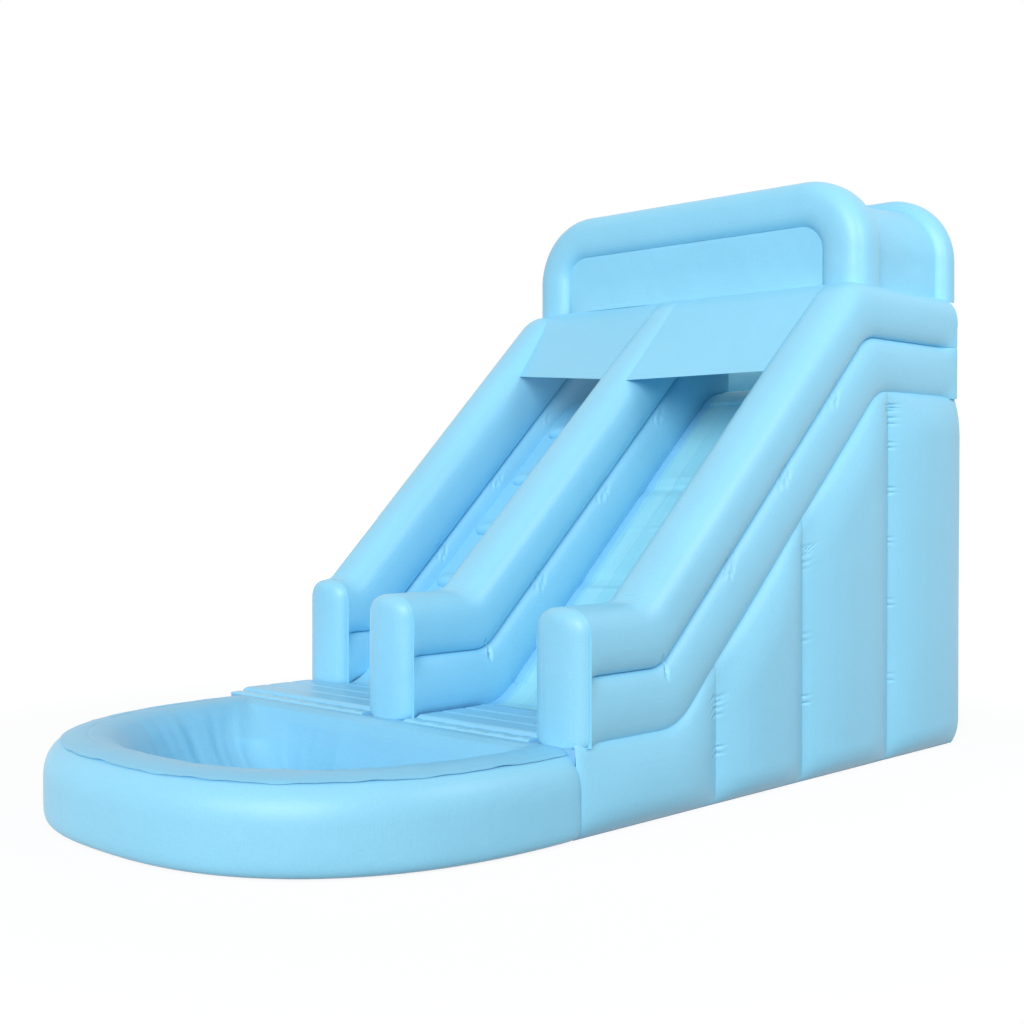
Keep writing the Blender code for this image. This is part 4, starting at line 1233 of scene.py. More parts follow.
@dataclass
class SlideBody:
    """The sewn walls of the body, its ground cloth and its landing deck."""

    finishes: Finishes
    swell: float = 0.115
    cell_power: float = 2.8
    corner_width: float = 0.2
    rows: int = 330
    tuck: float = 0.035
    edge_share: float = 0.15
    top_arc: float = 0.4
    bottom_arc: float = 0.24
    top_roll: float = 0.09
    bottom_roll: float = 0.12
    end_roll: float = 0.08
    ground: float = 0.005
    left_shifts: tuple[float, float] = (0.33, 0.35)
    tick_width: float = 0.0135
    tick_lengths: tuple[float, float] = (0.05, 0.075)
    tick_depths: tuple[float, float] = (0.014, 0.021)
    right_tops: tuple[float, ...] = (1.02, 2.084, 3.17)
    ticks: tuple[tuple[float, ...], ...] = (
        (0.81, 0.79, 0.765, 0.723, 0.432), (1.88, 1.852, 1.818, 1.76, 1.188, 0.69),
        (3.073, 3.045, 3.02, 2.96, 2.745, 2.357, 1.927, 1.393, 0.745))
    back_ticks: tuple[float, ...] = (3.06, 3.02, 2.95, 2.6, 2.2, 1.72, 1.31, 0.9, 0.5)

    def shares_up(self) -> Array:
        """(rows, 1) shares of a wall's height, closer together at its top and bottom."""
        share = np.linspace(0, 1, self.rows)
        return (share - 0.05 * np.sin(2 * math.pi * share))[:, None]

    def cell_swell(self, places: Array, marks: Sequence[float]) -> Array:
        """How far the cells of a wall swell.

        Args:
            places: Places along the wall.
            marks: Its ends and seams.

        Returns:
            0 at the marks, rising to 1 in the middle of each cell.
        """
        share = np.zeros_like(places)
        for near, far in zip(marks, marks[1:]):
            inside = (places >= near) & (places <= far)
            share[inside] = 2 * np.minimum(places[inside] - near, far - places[inside]) / (far - near)
        return self.arc(share, 1.0, self.cell_power)

    def arc(self, distance: Array, reach: float, power: float = 2.2) -> Array:
        """0 at an edge, rising in a round to 1 at the reach."""
        return 1 - np.clip(1 - np.asarray(distance) / reach, 0, 1) ** power

    def flattened(self, out: Array, level: float, along: Array, z: Array,
                  spots: Sequence[tuple[float, float, float]]) -> Array:
        """Draws the cloth in where a fitting is sewn to it.

        Args:
            out: How far out the wall lies at each place.
            level: How far out it lies at a fitting.
            along: Places along the wall.
            z: Heights.
            spots: (place, height, radius) of each fitting.

        Returns:
            The changed distances.
        """
        for place, height, radius in spots:
            near = np.exp(-(((along - place) ** 2 + (z - height) ** 2) / radius ** 2) ** 2)
            out = out + (level - out) * near
        return out

    def corner_shift(self, distance: Array, fade: Array) -> Array:
        """How far a wall's end moves, at a distance from a rear corner, to meet its neighbour's swell."""
        swell = self.swell * self.arc(self.edge_share, 1.0, self.cell_power) * fade
        return (swell - 0.3 * PLAN.roll) * rolled(distance, self.corner_width)

    def side_wall(self, side: int) -> Piece:
        """A side wall, drawn in at the upright webs and rolled in at its top and bottom seams.

        Args:
            side: 1 on the right, -1 on the left.

        Returns:
            The piece.
        """
        shift_foot, shift_head = self.left_shifts if side < 0 else (0.0, 0.0)
        line = BentLine(0.0, PLAN.foot + shift_foot, PLAN.head + shift_head, PLAN.length, PLAN.base, PLAN.tower)
        fine = line.at(np.linspace(0, 5, 2001))
        along = cells_between((0.0, *PLAN.side_seams, PLAN.length))
        top = np.interp(along, fine[:, 0], fine[:, 1])
        lean = np.gradient(fine[:, 1], fine[:, 0])
        lean = np.cos(np.arctan(np.interp(along, fine[:, 0], np.convolve(lean, np.ones(61) / 61, "same"))))
        bare = PLAN.post_set_back - 0.06 if side < 0 else -1.0
        top = top + self.tuck * np.clip((along - bare) / 0.08, 0, 1)
        z = self.ground + (top[None] - self.ground) * self.shares_up()
        down, up = (top[None] - z) * lean, z - self.ground
        fade = self.arc(down, self.top_arc) * self.arc(up, self.bottom_arc)
        past = (PLAN.length - PLAN.side_seams[-1]) * self.edge_share / (2 - self.edge_share)
        swell = self.cell_swell(along, (-0.06, *PLAN.side_seams, PLAN.length + past))[None] * fade
        front, rear = rolled(along, self.end_roll), rolled(PLAN.length - along, self.end_roll)
        roll = (1 - rolled(down, self.top_roll)) * (1 - rolled(up, self.bottom_roll)) \
            * (1 - 0.7 * front - 0.3 * rear)
        spread = along + self.corner_shift(PLAN.length - along, fade)
        out = PLAN.half_width - PLAN.roll * (1 - roll) + self.swell * swell
        if side < 0:
            spots = [(at, PLAN.anchor_height, 0.2)
                     for at in (PLAN.side_seams[0] / 2, (PLAN.side_seams[-1] + PLAN.length) / 2)]
            out = self.flattened(out, PLAN.half_width + PLAN.bulge, along[None], z, spots)
        places = pressed(points(side * out, spread, z), self.wall_ticks(side, line), wrap=False,
                         facing=(side, 0, 0))
        name = "right_side_wall" if side > 0 else "left_side_wall"
        obj = cloth(f"{name}_cloth", places, (side, 0, 0), 0.004)
        return settle(obj, self.finishes.side, [name])

    def wall_ticks(self, side: int, line: BentLine) -> list[Gather]:
        """The short level gathers that the webs draw into a side wall.

        Args:
            side: 1 on the right, -1 on the left.
            line: The wall's top seam.

        Returns:
            The gathers.
        """
        chance = np.random.default_rng(23 if side > 0 else 29)
        found = []
        for seam, right_top, heights in zip(PLAN.side_seams, self.right_tops, self.ticks):
            top = float(np.interp(seam, *line.at(np.linspace(0, 5, 2001)).T))
            rows = [*heights, *(height - chance.uniform(0.045, 0.06) for height in heights[3:])]
            for height in rows:
                z = height * (top / right_top if side < 0 else 1)
                for half in (-1, 1):
                    found.append(Gather((side * (PLAN.half_width + 0.014), seam + half * 0.05, z + 0.004 * half),
                                        (0.25 * side * half, half, chance.uniform(-0.16, 0.08)),
                                        chance.uniform(*self.tick_lengths), self.tick_width,
                                        chance.uniform(*self.tick_depths)))
        return found

    def back_wall(self) -> Piece:
        """The back wall, in four upright cells.

        Returns:
            The piece.
        """
        marks = [PLAN.cell * n - PLAN.half_width for n in range(5)]
        across = cells_between(marks)
        past = PLAN.cell * self.edge_share / (2 - self.edge_share)
        cells = self.cell_swell(across, (marks[0] - past, *marks[1:-1], marks[-1] + past))[None]
        z = self.ground + (PLAN.tower + self.tuck - self.ground) * self.shares_up() + 0 * across[None]
        down = PLAN.tower + self.tuck - z
        fade = self.arc(down, self.top_arc) * self.arc(z - self.ground, self.bottom_arc)
        spread = across + np.sign(across) * self.corner_shift(PLAN.half_width - np.abs(across), fade)
        end = rolled(PLAN.half_width - np.abs(across), self.end_roll)
        roll = (1 - rolled(down, self.top_roll)) * (1 - rolled(z - self.ground, self.bottom_roll)) \
            * (1 - 0.3 * end[None])
        out = PLAN.length - PLAN.roll * (1 - roll) + self.swell * (cells * fade)
        out = self.flattened(out, PLAN.length + PLAN.bulge, across[None], z,
                             [(-1.5 * PLAN.cell, PLAN.anchor_height, 0.2), (1.5 * PLAN.cell, PLAN.anchor_height, 0.2),
                              (*PLAN.inlet, 0.26), (0.49, 0.45, 0.36)])
        chance = np.random.default_rng(31)
        ticks = []
        for mark in marks[1:-1]:
            for height in self.back_ticks:
                z_at = height + chance.uniform(-0.06, 0.06)
                ticks += [Gather((mark + half * 0.038, PLAN.length + 0.012, z_at),
                                 (half, 0.25 * half, chance.uniform(-0.2, 0.2)), 0.05, 0.0125, 0.016)
                          for half in (-1, 1)]
        places = pressed(points(spread, out, z), ticks, wrap=False, facing=(0, 1, 0))
        return settle(cloth("back_wall_cloth", places, (0, 1, 0), 0.004), self.finishes.back, ["back_wall"])

    def ground_cloth(self) -> Piece:
        """The ground cloth, drawn in under the walls.

        Returns:
            The piece.
        """
        reach = PLAN.half_width - PLAN.roll
        xs = np.linspace(-reach, reach, 41)
        ys = np.linspace(0.0, PLAN.length - PLAN.roll, 61)
        obj = cloth("ground_cloth", points(xs, ys[:, None], 0.0045), (0, 0, 1), 0.0045)
        return settle(obj, self.finishes.inside, ["ground_sheet"])

    def build(self) -> None:
        """Makes the walls and dresses the solids inside."""
        for side in (1, -1):
            self.side_wall(side)
        self.back_wall()
        self.ground_cloth()
        for node in ("front_wall", "landing_deck", "inner_web_1", "inner_web_2", "inner_web_3"):
            redress(node, self.finishes.inside)


# Lanes and landing


@dataclass
class Lanes:
    """The slide lane with its slip sheet, the climbing lane with steps and handles, and the landing."""

    finishes: Finishes
    bed: float = 0.09
    pad: float = 0.045
    cells: int = 3
    slip_margin: float = 0.125
    slip_folds: tuple[tuple[float, float], ...] = (
        (2.12, 0.006), (2.31, 0.009), (2.34, 0.006), (2.52, 0.006), (2.68, 0.009), (2.71, 0.006))
    step_count: int = 5
    step_radius: float = 0.075
    step_room: float = 0.1
    handle_span: float = 0.24
    handle_rise: float = 0.083
    handle_feet: float = 0.045
    strap: float = 0.0225
    strip_width: float = 0.12
    strip_height: float = 0.024
    flank_room: float = -0.008

    def line(self) -> BentLine:
        """The line under both lanes."""
        return BentLine(PLAN.deck_end - PLAN.lip, PLAN.foot, PLAN.head, PLAN.centre_back, PLAN.base, PLAN.tower)

    def bed_height(self, at: Array) -> Array:
        """Thickness of a bed at stations: thin at the landing and full on the incline."""
        grow = np.clip(at - 1, 0, 1)
        return self.pad + (self.bed - self.pad) * (3 * grow ** 2 - 2 * grow ** 3)

    def bed_rings(self, at: Array, xs: Array, heights: Array) -> Array:
        """Closed rings of a bed, at stations along it and places across it, under the top's heights."""
        line = self.line().at(at)
        return np.concatenate([laid(line, xs, heights), laid(line, xs[[-1, 0]], np.zeros((len(at), 2)))], 1)

    def slide_top(self, at: Array, across: Array) -> Array:
        """Height of the slide lane's bed.

        Args:
            at: Stations along the lane.
            across: Places from -1 to 1 across it.

        Returns:
            The height at each.
        """
        base = self.bed_height(at)
        turn = np.clip(at - 2, 0, 1) * self.cells
        inside = ((at >= 2) & (at <= 3)).astype(float)
        channel = 0.02 * inside * bell(turn - np.rint(turn), 0.06)
        edge = 1 - 0.22 * np.abs(across) ** 8
        return (base - channel)[:, None] * edge[None]

    def slide_lane(self) -> None:
        """The slide lane and the slip sheet on it."""
        at = stations((3, 20, 120, 16, 6))
        inner, outer = PLAN.lane_inner + self.flank_room, PLAN.lane_outer - self.flank_room
        across = 2 * eased(31) - 1
        xs = (inner + outer) / 2 + (outer - inner) / 2 * across
        rings = self.bed_rings(at, xs, self.slide_top(at, across))
        inflated("slide_lane", rings, self.finishes.pad, "bed")
        at = stations((3, 24, 220, 20, 6))
        low, high = inner + self.slip_margin, outer - self.slip_margin
        share = np.linspace(0, 1, 49)
        xs = low + (high - low) * share
        place = (xs - (inner + outer) / 2) / ((outer - inner) / 2)
        lift = 0.005 + wavy(at, [(0.0012, 0.33, 0.4), (0.0009, 0.117, 1.1)])[:, None] * np.sin(math.pi * share)
        chance = np.random.default_rng(41)
        for centre, size in self.slip_folds:
            slant = 0.015 * (share - 0.5) + chance.uniform(-0.004, 0.004)
            lift = lift + size * bell(at[:, None] - centre - slant, 0.006) * np.sin(math.pi * share) ** 0.5
        heights = self.slide_top(at, place) + np.clip(lift, 0.0035, 0.016)
        places = laid(self.line().at(at), xs, heights)
        obj = cloth("slip_sheet_cloth", places, (0, -0.6, 0.8), 0.0022)
        run = lengths_along(places, 0)[-1]
        settle(obj, self.finishes.slip, ["slide_slip_sheet"])

    def climbing_lane(self) -> None:
        """The climbing lane's bed, its treads and the handles between them."""
        at = stations((3, 20, 90, 16, 6))
        inner, outer = PLAN.lane_inner + self.flank_room, PLAN.lane_outer - PLAN.bulge
        across = 2 * eased(31) - 1
        xs = -(inner + outer) / 2 + (outer - inner) / 2 * across
        heights = self.bed_height(at)[:, None] * (1 - 0.22 * np.abs(across) ** 8)[None]
        inflated("climbing_lane", self.bed_rings(at, xs, heights), self.finishes.tube, "bed")
        line = self.line().at(np.array([2.0, 3.0]))
        along = (line[1] - line[0]) / np.linalg.norm(line[1] - line[0])
        up = np.array([-along[1], along[0]])
        start, end = line[0] + up * self.bed, line[1] + up * self.bed
        middle = -(inner + outer) / 2
        reach = (outer - inner) / 2 - self.step_room
        for n in range(self.step_count):
            self.step(n + 1, start + (end - start) * (n + 0.5) / self.step_count, along, up, middle, reach)
        for n in range(self.step_count - 1):
            self.handle(n + 1, start + (end - start) * (n + 1) / self.step_count, along, up, middle)

    def step(self, number: int, seat: Array, along: Array, up: Array, middle: float, reach: float) -> None:
        """One inflated tread across the climbing lane.

        Args:
            number: Its number from the foot.
            seat: (y, z) of its middle on the bed.
            along: (y, z) up the lane.
            up: (y, z) square to the lane.
            middle: Its middle across.
            reach: Half its width.
        """
        turn = np.linspace(0, math.pi, 25)
        rings = []
        for share in eased(49):
            off = abs(2 * share - 1)
            scale = 0.55 + 0.45 * (1 - off ** 9) ** (1 / 2.2)
            scale *= 1 - 0.03 * bell(off - 0.5, 0.03)
            arc = seat + (along * round_cosine(turn, 2.3)[:, None] + up * round_sine(turn, 2.3)[:, None]) \
                * self.step_radius * scale
            rings.append(points(middle + reach * (2 * share - 1), *arc.T))
        inflated(f"climbing_step_{number}", np.array(rings), self.finishes.tube)

    def handle(self, number: int, seat: Array, along: Array, up: Array, middle: float) -> None:
        """A webbing strap that stands up as a loop between its two sewn feet.

        Args:
            number: Its number from the foot.
            seat: (y, z) of its middle on the bed.
            along: (y, z) up the lane.
            up: (y, z) square to the lane.
            middle: Its middle across.
        """
        turn = np.linspace(0, math.pi, 33)
        x = -self.handle_span / 2 * np.cos(turn)
        rise = self.handle_rise * np.sin(turn) ** 1.15 + 0.004
        feet = np.linspace(self.handle_feet, 0.004, 5)
        x = middle + np.concatenate([x[0] - feet, x, x[-1] + feet[::-1]])
        rise = np.concatenate([np.full(5, 0.004), rise, np.full(5, 0.004)])
        path = points(x, seat[0] + up[0] * rise, seat[1] + up[1] * rise)
        half, thick = self.strap / 2, 0.0014
        section = np.array([(half, thick), (half * 0.8, thick * 1.2), (-half * 0.8, thick * 1.2), (-half, thick),
                            (-half, -thick), (-half * 0.8, -thick * 1.2), (half * 0.8, -thick * 1.2), (half, -thick)])
        rings = swept(path, section, np.array([0, along[0], along[1]]))
        settle(chamber(f"climbing_handle_{number}_strap", rings), self.finishes.strap,
               [f"climbing_handle_{number}"])
        for end in (-1, 1):
            x_at = middle + end * (self.handle_span / 2 + self.handle_feet / 2)
            xs = x_at + np.linspace(-0.034, 0.034, 9)
            spread = np.linspace(-0.03, 0.03, 9)[:, None]
            centre = seat + up * 0.0013
            places = points(xs, centre[0] + along[0] * spread, centre[1] + along[1] * spread)
            word = "left" if end < 0 else "right"
            patch = cloth(f"climbing_handle_{number}_{word}_patch", places, (0, up[0], up[1]), 0.0011)
            settle(patch, self.finishes.tube)

    def pads(self) -> None:
        """The sewn landing pads at the foot of the lanes."""
        front, back = self.strip_width, PLAN.deck_end - PLAN.lip
        part = np.linspace(0, 1, 121)
        ys = front + (back - front) * part
        cell = part * self.cells
        channel = np.abs(cell - np.rint(cell))
        height = self.pad - 0.009 * bell(channel, 0.07)
        height *= 0.45 + 0.55 * (1 - rolled(np.minimum(ys - front, back - ys), 0.04))
        near, far = PLAN.lane_inner + PLAN.bulge, PLAN.lane_outer - PLAN.bulge
        open_left = -(PLAN.half_width - 0.02)
        behind_post = np.clip((ys - 0.806) / 0.012, 0, 1)
        for name, ends, high in (("slide_landing_pad", np.full_like(ys, near), far),
                                 ("entry_landing_pad", open_left + (-far - open_left) * behind_post, -near)):
            xs = ends[:, None] + (high - ends)[:, None] * eased(41)[None]
            edge = 0.6 + 0.4 * (1 - rolled(np.minimum(xs - ends[:, None], high - xs), 0.05))
            top = points(xs, ys[:, None], PLAN.base + height[:, None] * edge)
            under = points(xs[:, [-1, 0]], ys[:, None], PLAN.base)
            inflated(name, np.concatenate([top, under], 1), self.finishes.pad)

    def strips(self) -> None:
        """The bright seam between the landing and the pool, slightly wavy."""
        turn = np.linspace(0, math.pi, 21)
        for name, low, high in (("slide_seam_strip", 0.24, PLAN.rail_centre - 0.24),
                                ("entry_seam_strip", -PLAN.half_width, -0.24)):
            xs = np.linspace(low, high, 120)
            ripple = wavy(xs, [(0.003, 0.23, 0.2), (0.002, 0.094, 1.0)])
            half = self.strip_width / 2
            y = half + (half - 0.004) * round_cosine(turn, 3)[None] + 0 * xs[:, None]
            free = 1 - 0.75 * rolled(xs + PLAN.half_width, 0.16)
            z = PLAN.base + ((self.strip_height - 0.004 + ripple) * free)[:, None] * round_sine(turn, 3)[None]
            inflated(name, points(xs[:, None], y, z), self.finishes.tube)

    def platform(self) -> None:
        """The platform's pad, crowned in sewn cells."""
        reach = PLAN.lane_outer - PLAN.bulge
        front, back = PLAN.centre_back + 0.001, PLAN.length - PLAN.rail_width - PLAN.bulge
        xs = reach * (2 * np.linspace(0, 1, 121) - 1)
        ys = front + (back - front) * eased(31)
        cell = (xs + reach) / (2 * reach) * 5
        crown = self.bed - 0.014 * bell(cell - np.rint(cell), 0.05)
        edge = 0.6 + 0.4 * (1 - rolled(np.minimum(ys - front, back - ys), 0.05))
        top = points(xs, ys[:, None], PLAN.tower + edge[:, None] * crown[None])
        under = points(xs[[-1, 0]], ys[:, None], PLAN.tower)
        inflated("platform", np.concatenate([top, under], 1), self.finishes.pad, "pad")

    def build(self) -> None:
        """Makes the lanes and the landing."""
        self.slide_lane()
        self.climbing_lane()
        self.pads()
        self.strips()
        self.platform()


# Arches


@dataclass
class Arches:
    """The two arches over the platform, their panels, the canopy and the sloping front sheets."""

    finishes: Finishes
    rails: Rails
    half_widths: tuple[float, float] = (1.664, 1.72)
    places: tuple[float, float] = (3.955, 5.24)
    half_deeps: tuple[float, float] = (0.235, 0.15)
    top: float = 4.845
    corner: float = 0.41
    half_thick: float = 0.225
    power: float = 2.6
    foot_drop: float = 0.3
    foot_reaches: tuple[float, float] = (0.15, 0.03)
    seat_room: float = 0.0005
    canopy_outset: float = 0.128
    canopy_sag: float = 0.03
    panel: float = 3.792
    rear_room: float = 0.11
    cove: float = 0.32
    hem: float = 2.69
    left_hem: float = 3.06
    hem_drop: float = 0.035
    left_drop: float = 0.09

    def path(self, half_width: float, offset: float, foot: float, steps: int = 1) -> tuple[Array, Array]:
        """An arch's line from its right foot to its left.

        Args:
            half_width: To the centre line of a leg.
            offset: How far outside the centre line the path runs.
            foot: Height of its feet.
            steps: Multiplies the number of points.

        Returns:
            (n, 2) places (x, z) and (n, 2) unit vectors square to them.
        """
        straight = self.top - self.corner
        leg = np.linspace(foot, straight, 14 * steps, endpoint=False)
        turn = np.linspace(0, math.pi / 2, 14 * steps)
        quarter = np.stack([half_width - self.corner + self.corner * np.cos(turn),
                            straight + self.corner * np.sin(turn)], -1)
        level = np.linspace(half_width - self.corner, 0, 16 * steps)[1:]
        spots = np.concatenate([np.stack([np.full_like(leg, half_width), leg], -1), quarter,
                                np.stack([level, np.full_like(level, self.top)], -1)])
        ways = np.concatenate([np.tile([1.0, 0.0], (len(leg), 1)), np.stack([np.cos(turn), np.sin(turn)], -1),
                               np.tile([0.0, 1.0], (len(level), 1))])
        spots = np.concatenate([spots, spots[-2::-1] * (-1, 1)])
        ways = np.concatenate([ways, ways[-2::-1] * (-1, 1)])
        return spots + ways * offset, ways

    def deep_at(self, half_deep: float, out: float) -> float:
        """How deep an arch's tube is at a distance out from its centre line."""
        return half_deep * (1 - (out / self.half_thick) ** self.power) ** (1 / self.power)

    def out_at(self, half_deep: float, deep: float) -> float:
        """How far out an arch's tube is at a depth from its centre line."""
        return self.half_thick * (1 - (deep / half_deep) ** self.power) ** (1 / self.power)

    def arch(self, which: int) -> Piece:
        """An arch whose feet are seated on the crests of the side rails.

        Args:
            which: 0 in front, 1 behind.

        Returns:
            The piece.
        """
        half_width, place, deep = self.half_widths[which], self.places[which], self.half_deeps[which]
        spots, ways = self.path(half_width, 0, PLAN.crest - self.foot_drop, 3)
        turn = np.linspace(0, 2 * math.pi, 56, endpoint=False)
        out, off = self.half_thick * round_cosine(turn, self.power), deep * round_sine(turn, self.power)
        run = lengths_of(spots)
        scale = 1 - 0.3 * rolled(np.minimum(run, run[-1] - run), 0.16)
        puff = 1 + wavy(run, [(0.004, 0.9, 0.3), (0.003, 0.37, 1.0)])
        grow = np.minimum(scale * puff, 1.0)[:, None]
        rings = points(spots[:, :1] + ways[:, :1] * out * grow, place + off * grow,
                       spots[:, 1:] + ways[:, 1:] * out * grow)
        chance = np.random.default_rng(53 + which)
        creases = []
        for n in range(10):
            index = int(len(spots) * (0.08 + 0.84 * (n + chance.uniform(0.2, 0.8)) / 10))
            x, z = spots[index] - ways[index] * self.half_thick * 0.72
            for _ in range(3):
                spot = (x + chance.uniform(-0.03, 0.03), place - deep * 0.72, z + chance.uniform(-0.03, 0.03))
                creases.append(Gather(spot, (ways[index][0], -0.3, ways[index][1]), 0.035, 0.009, 0.003))
        rings = pressed(rings, creases, wrap=True)
        away = np.clip(np.abs(np.abs(rings[..., 0]) - PLAN.rail_centre) / self.rails.full, 0, 1)
        share = self.rails.dome_start + (1 - self.rails.dome_start) \
            * (1 - away ** self.rails.dome_power) ** (1 / self.rails.dome_power)
        crests = [self.rails.lines(side)[2].at(np.linspace(0, 5, 2001)).T for side in (Side.LEFT, Side.RIGHT)]
        crest = np.where(rings[..., 0] < 0, *(np.interp(rings[..., 1], *line) for line in crests))
        seat = np.where(away < 1, crest - PLAN.tube * (1 - share) + self.seat_room,
                        PLAN.crest - self.foot_reaches[which])
        rings[..., 2] = np.maximum(rings[..., 2], seat)
        return inflated(("front_arch", "rear_arch")[which], rings, self.finishes.tube)

    def canopy(self) -> None:
        """The sheet over the platform, roof and sides in one."""
        front = self.places[0] + self.deep_at(self.half_deeps[0], self.canopy_outset) - 0.004
        rear = self.places[1] - self.deep_at(self.half_deeps[1], self.canopy_outset) + 0.004
        rows = []
        for share in np.linspace(0, 1, 41):
            sag = self.canopy_sag * math.sin(math.pi * share)
            wide = self.half_widths[0] + (self.half_widths[1] - self.half_widths[0]) * share
            spots, ways = self.path(wide, self.canopy_outset, PLAN.crest - 0.03, 2)
            run = lengths_of(spots)
            level = wavy(run + 0.4 * share, [(0.0035, 0.61, 0.5), (0.002, 0.27, 0.9)]) * math.sin(math.pi * share)
            foot = np.clip(np.minimum(run, run[-1] - run) / 0.25, 0, 1)
            inwards = (sag + level) * (0.35 + 0.65 * foot)
            place = spots - ways * np.clip(inwards, 0, None)[:, None]
            rows.append(points(place[:, 0], front + (rear - front) * share, place[:, 1]))
        places = np.array(rows)
        obj = cloth("canopy_cloth", places, (0, 0, 1), 0.0035)
        width, length = (float(lengths_along(places, axis)[-1]) for axis in (1, 0))
        settle(obj, self.finishes.hung, ["canopy_sheet"])

    def upright(self, which: int, y: float, facing: float) -> None:
        """An upright panel inside an arch, from the crests of the rails up to the tube.

        Args:
            which: The arch, 0 in front.
            y: Where the panel hangs.
            facing: -1 where its outer face looks to the front, 1 to the back.
        """
        half_width, place, deep = self.half_widths[which], self.places[which], self.half_deeps[which]
        offset = self.out_at(deep, max(0.0, abs(y - place) - 0.004)) - 0.003
        radius = self.corner - offset
        reach, high = half_width - offset, self.top - offset
        z = PLAN.crest + self.seat_room + (high - PLAN.crest - self.seat_room) * eased(61)
        above = np.clip(z - (high - radius), 0, radius)
        wide = reach - radius + np.sqrt(np.clip(radius ** 2 - above ** 2, 0, None))
        share = 2 * np.linspace(0, 1, 97) - 1
        xs = wide[:, None] * share[None]
        rise = np.linspace(0, 1, 61)[:, None]
        billow = 0.011 * (1 - share[None] ** 2) * np.sin(math.pi * rise) + wavy(
            xs + 0.5 * rise, [(0.0012, 0.71, 0.1), (0.0008, 0.23, 0.6)]) * np.sin(math.pi * rise)
        ys = y + facing * (0.003 + np.clip(billow, -0.002, 0.02))
        if which == 0:
            low = np.clip(1 - (z - PLAN.crest) / self.cove, 0, 1)[:, None]
            push = self.panel - self.places[0] + self.half_deeps[0]
            ys = ys - push * low ** 2 * (1 - np.abs(share[None]) ** 10)
        name = ("front_panel", "rear_panel")[which]
        obj = cloth(f"{name}_cloth", points(xs, ys, z[:, None]), (0, facing, 0), 0.0035)
        2 * reach
        float(high - PLAN.crest)
        settle(obj, self.finishes.hung, [name])

    def on_rail(self, side: Side, at: Array, drop: Array) -> Array:
        """Places on the inner shoulder of a rail's upper tube.

        Args:
            side: The rail.
            at: Stations along it.
            drop: Drop below the crest at each.

        Returns:
            (n, 3) places.
        """
        _, crease, crest = self.rails.lines(side)
        low, high = crease.at(at), crest.at(at)
        place = high + (low - high) * (drop / PLAN.tube)[:, None]
        inward = self.rails.half_width_at(drop) + self.seat_room
        x = self.rails.x_of(side)
        return np.stack([np.abs(x) - inward if x else inward, place[:, 0], place[:, 1]], -1)

    def front_sheet(self, side: Side) -> None:
        """Half of the sloping front sheet, between the centre rail and a side rail.

        Args:
            side: The side rail.
        """
        turn = -1.0 if side is Side.LEFT else 1.0
        end = self.places[0] - self.half_deeps[0]
        edges = []
        hems = ((Side.CENTRE, self.hem_drop, self.hem + (0.03 if side is Side.LEFT else 0.0)),
                (side, self.left_drop, self.left_hem) if side is Side.LEFT else (side, self.hem_drop, self.hem))
        for rail, drop, hem in hems:
            crest = self.rails.lines(rail)[2]
            first, last = crest.station(hem), crest.station(end)
            part = np.linspace(0, 1, 45)
            at = np.where(part < 0.65, first + (3 - first) * part / 0.65, 3 + (last - 3) * (part - 0.65) / 0.35)
            edges.append(self.on_rail(rail, at, drop + (0.004 - drop) * part))
        tail_y = np.linspace(end + 0.004, self.panel, 6)
        near, far = (np.concatenate([edge, points(x, tail_y, PLAN.crest - 0.004)])
                     for edge, x in zip(edges, (edges[0][-1][0], self.half_widths[0] - self.half_thick)))
        share = np.linspace(0, 1, 61)[None, :, None]
        places = near[:, None] * (1 - share) + far[:, None] * share
        rows = np.linspace(0, 1, len(near))[:, None]
        across = share[..., 0]
        loose = np.sin(math.pi * rows) * np.sin(math.pi * across)
        sag = 0.004 * loose + wavy(across + 0.3 * rows, [(0.0012, 0.31, 0.2), (0.0008, 0.17, 1.3)]) * loose
        places[..., 2] += 0.004 - sag
        places[..., 0] *= turn
        name = f"{side.value}_front_sheet"
        obj = cloth(f"{name}_cloth", places, (0, -0.6, 0.8), 0.003)
        width, length = (float(lengths_along(places, axis)[-1]) for axis in (1, 0))
        settle(obj, self.finishes.hung, [name])

    def build(self) -> None:
        """Makes the arches and every sheet between them."""
        self.arch(0)
        self.arch(1)
        self.canopy()
        self.upright(0, self.panel, -1)
        self.upright(1, self.places[1] - self.rear_room, 1)
        self.front_sheet(Side.RIGHT)
        self.front_sheet(Side.LEFT)


# Splash pool


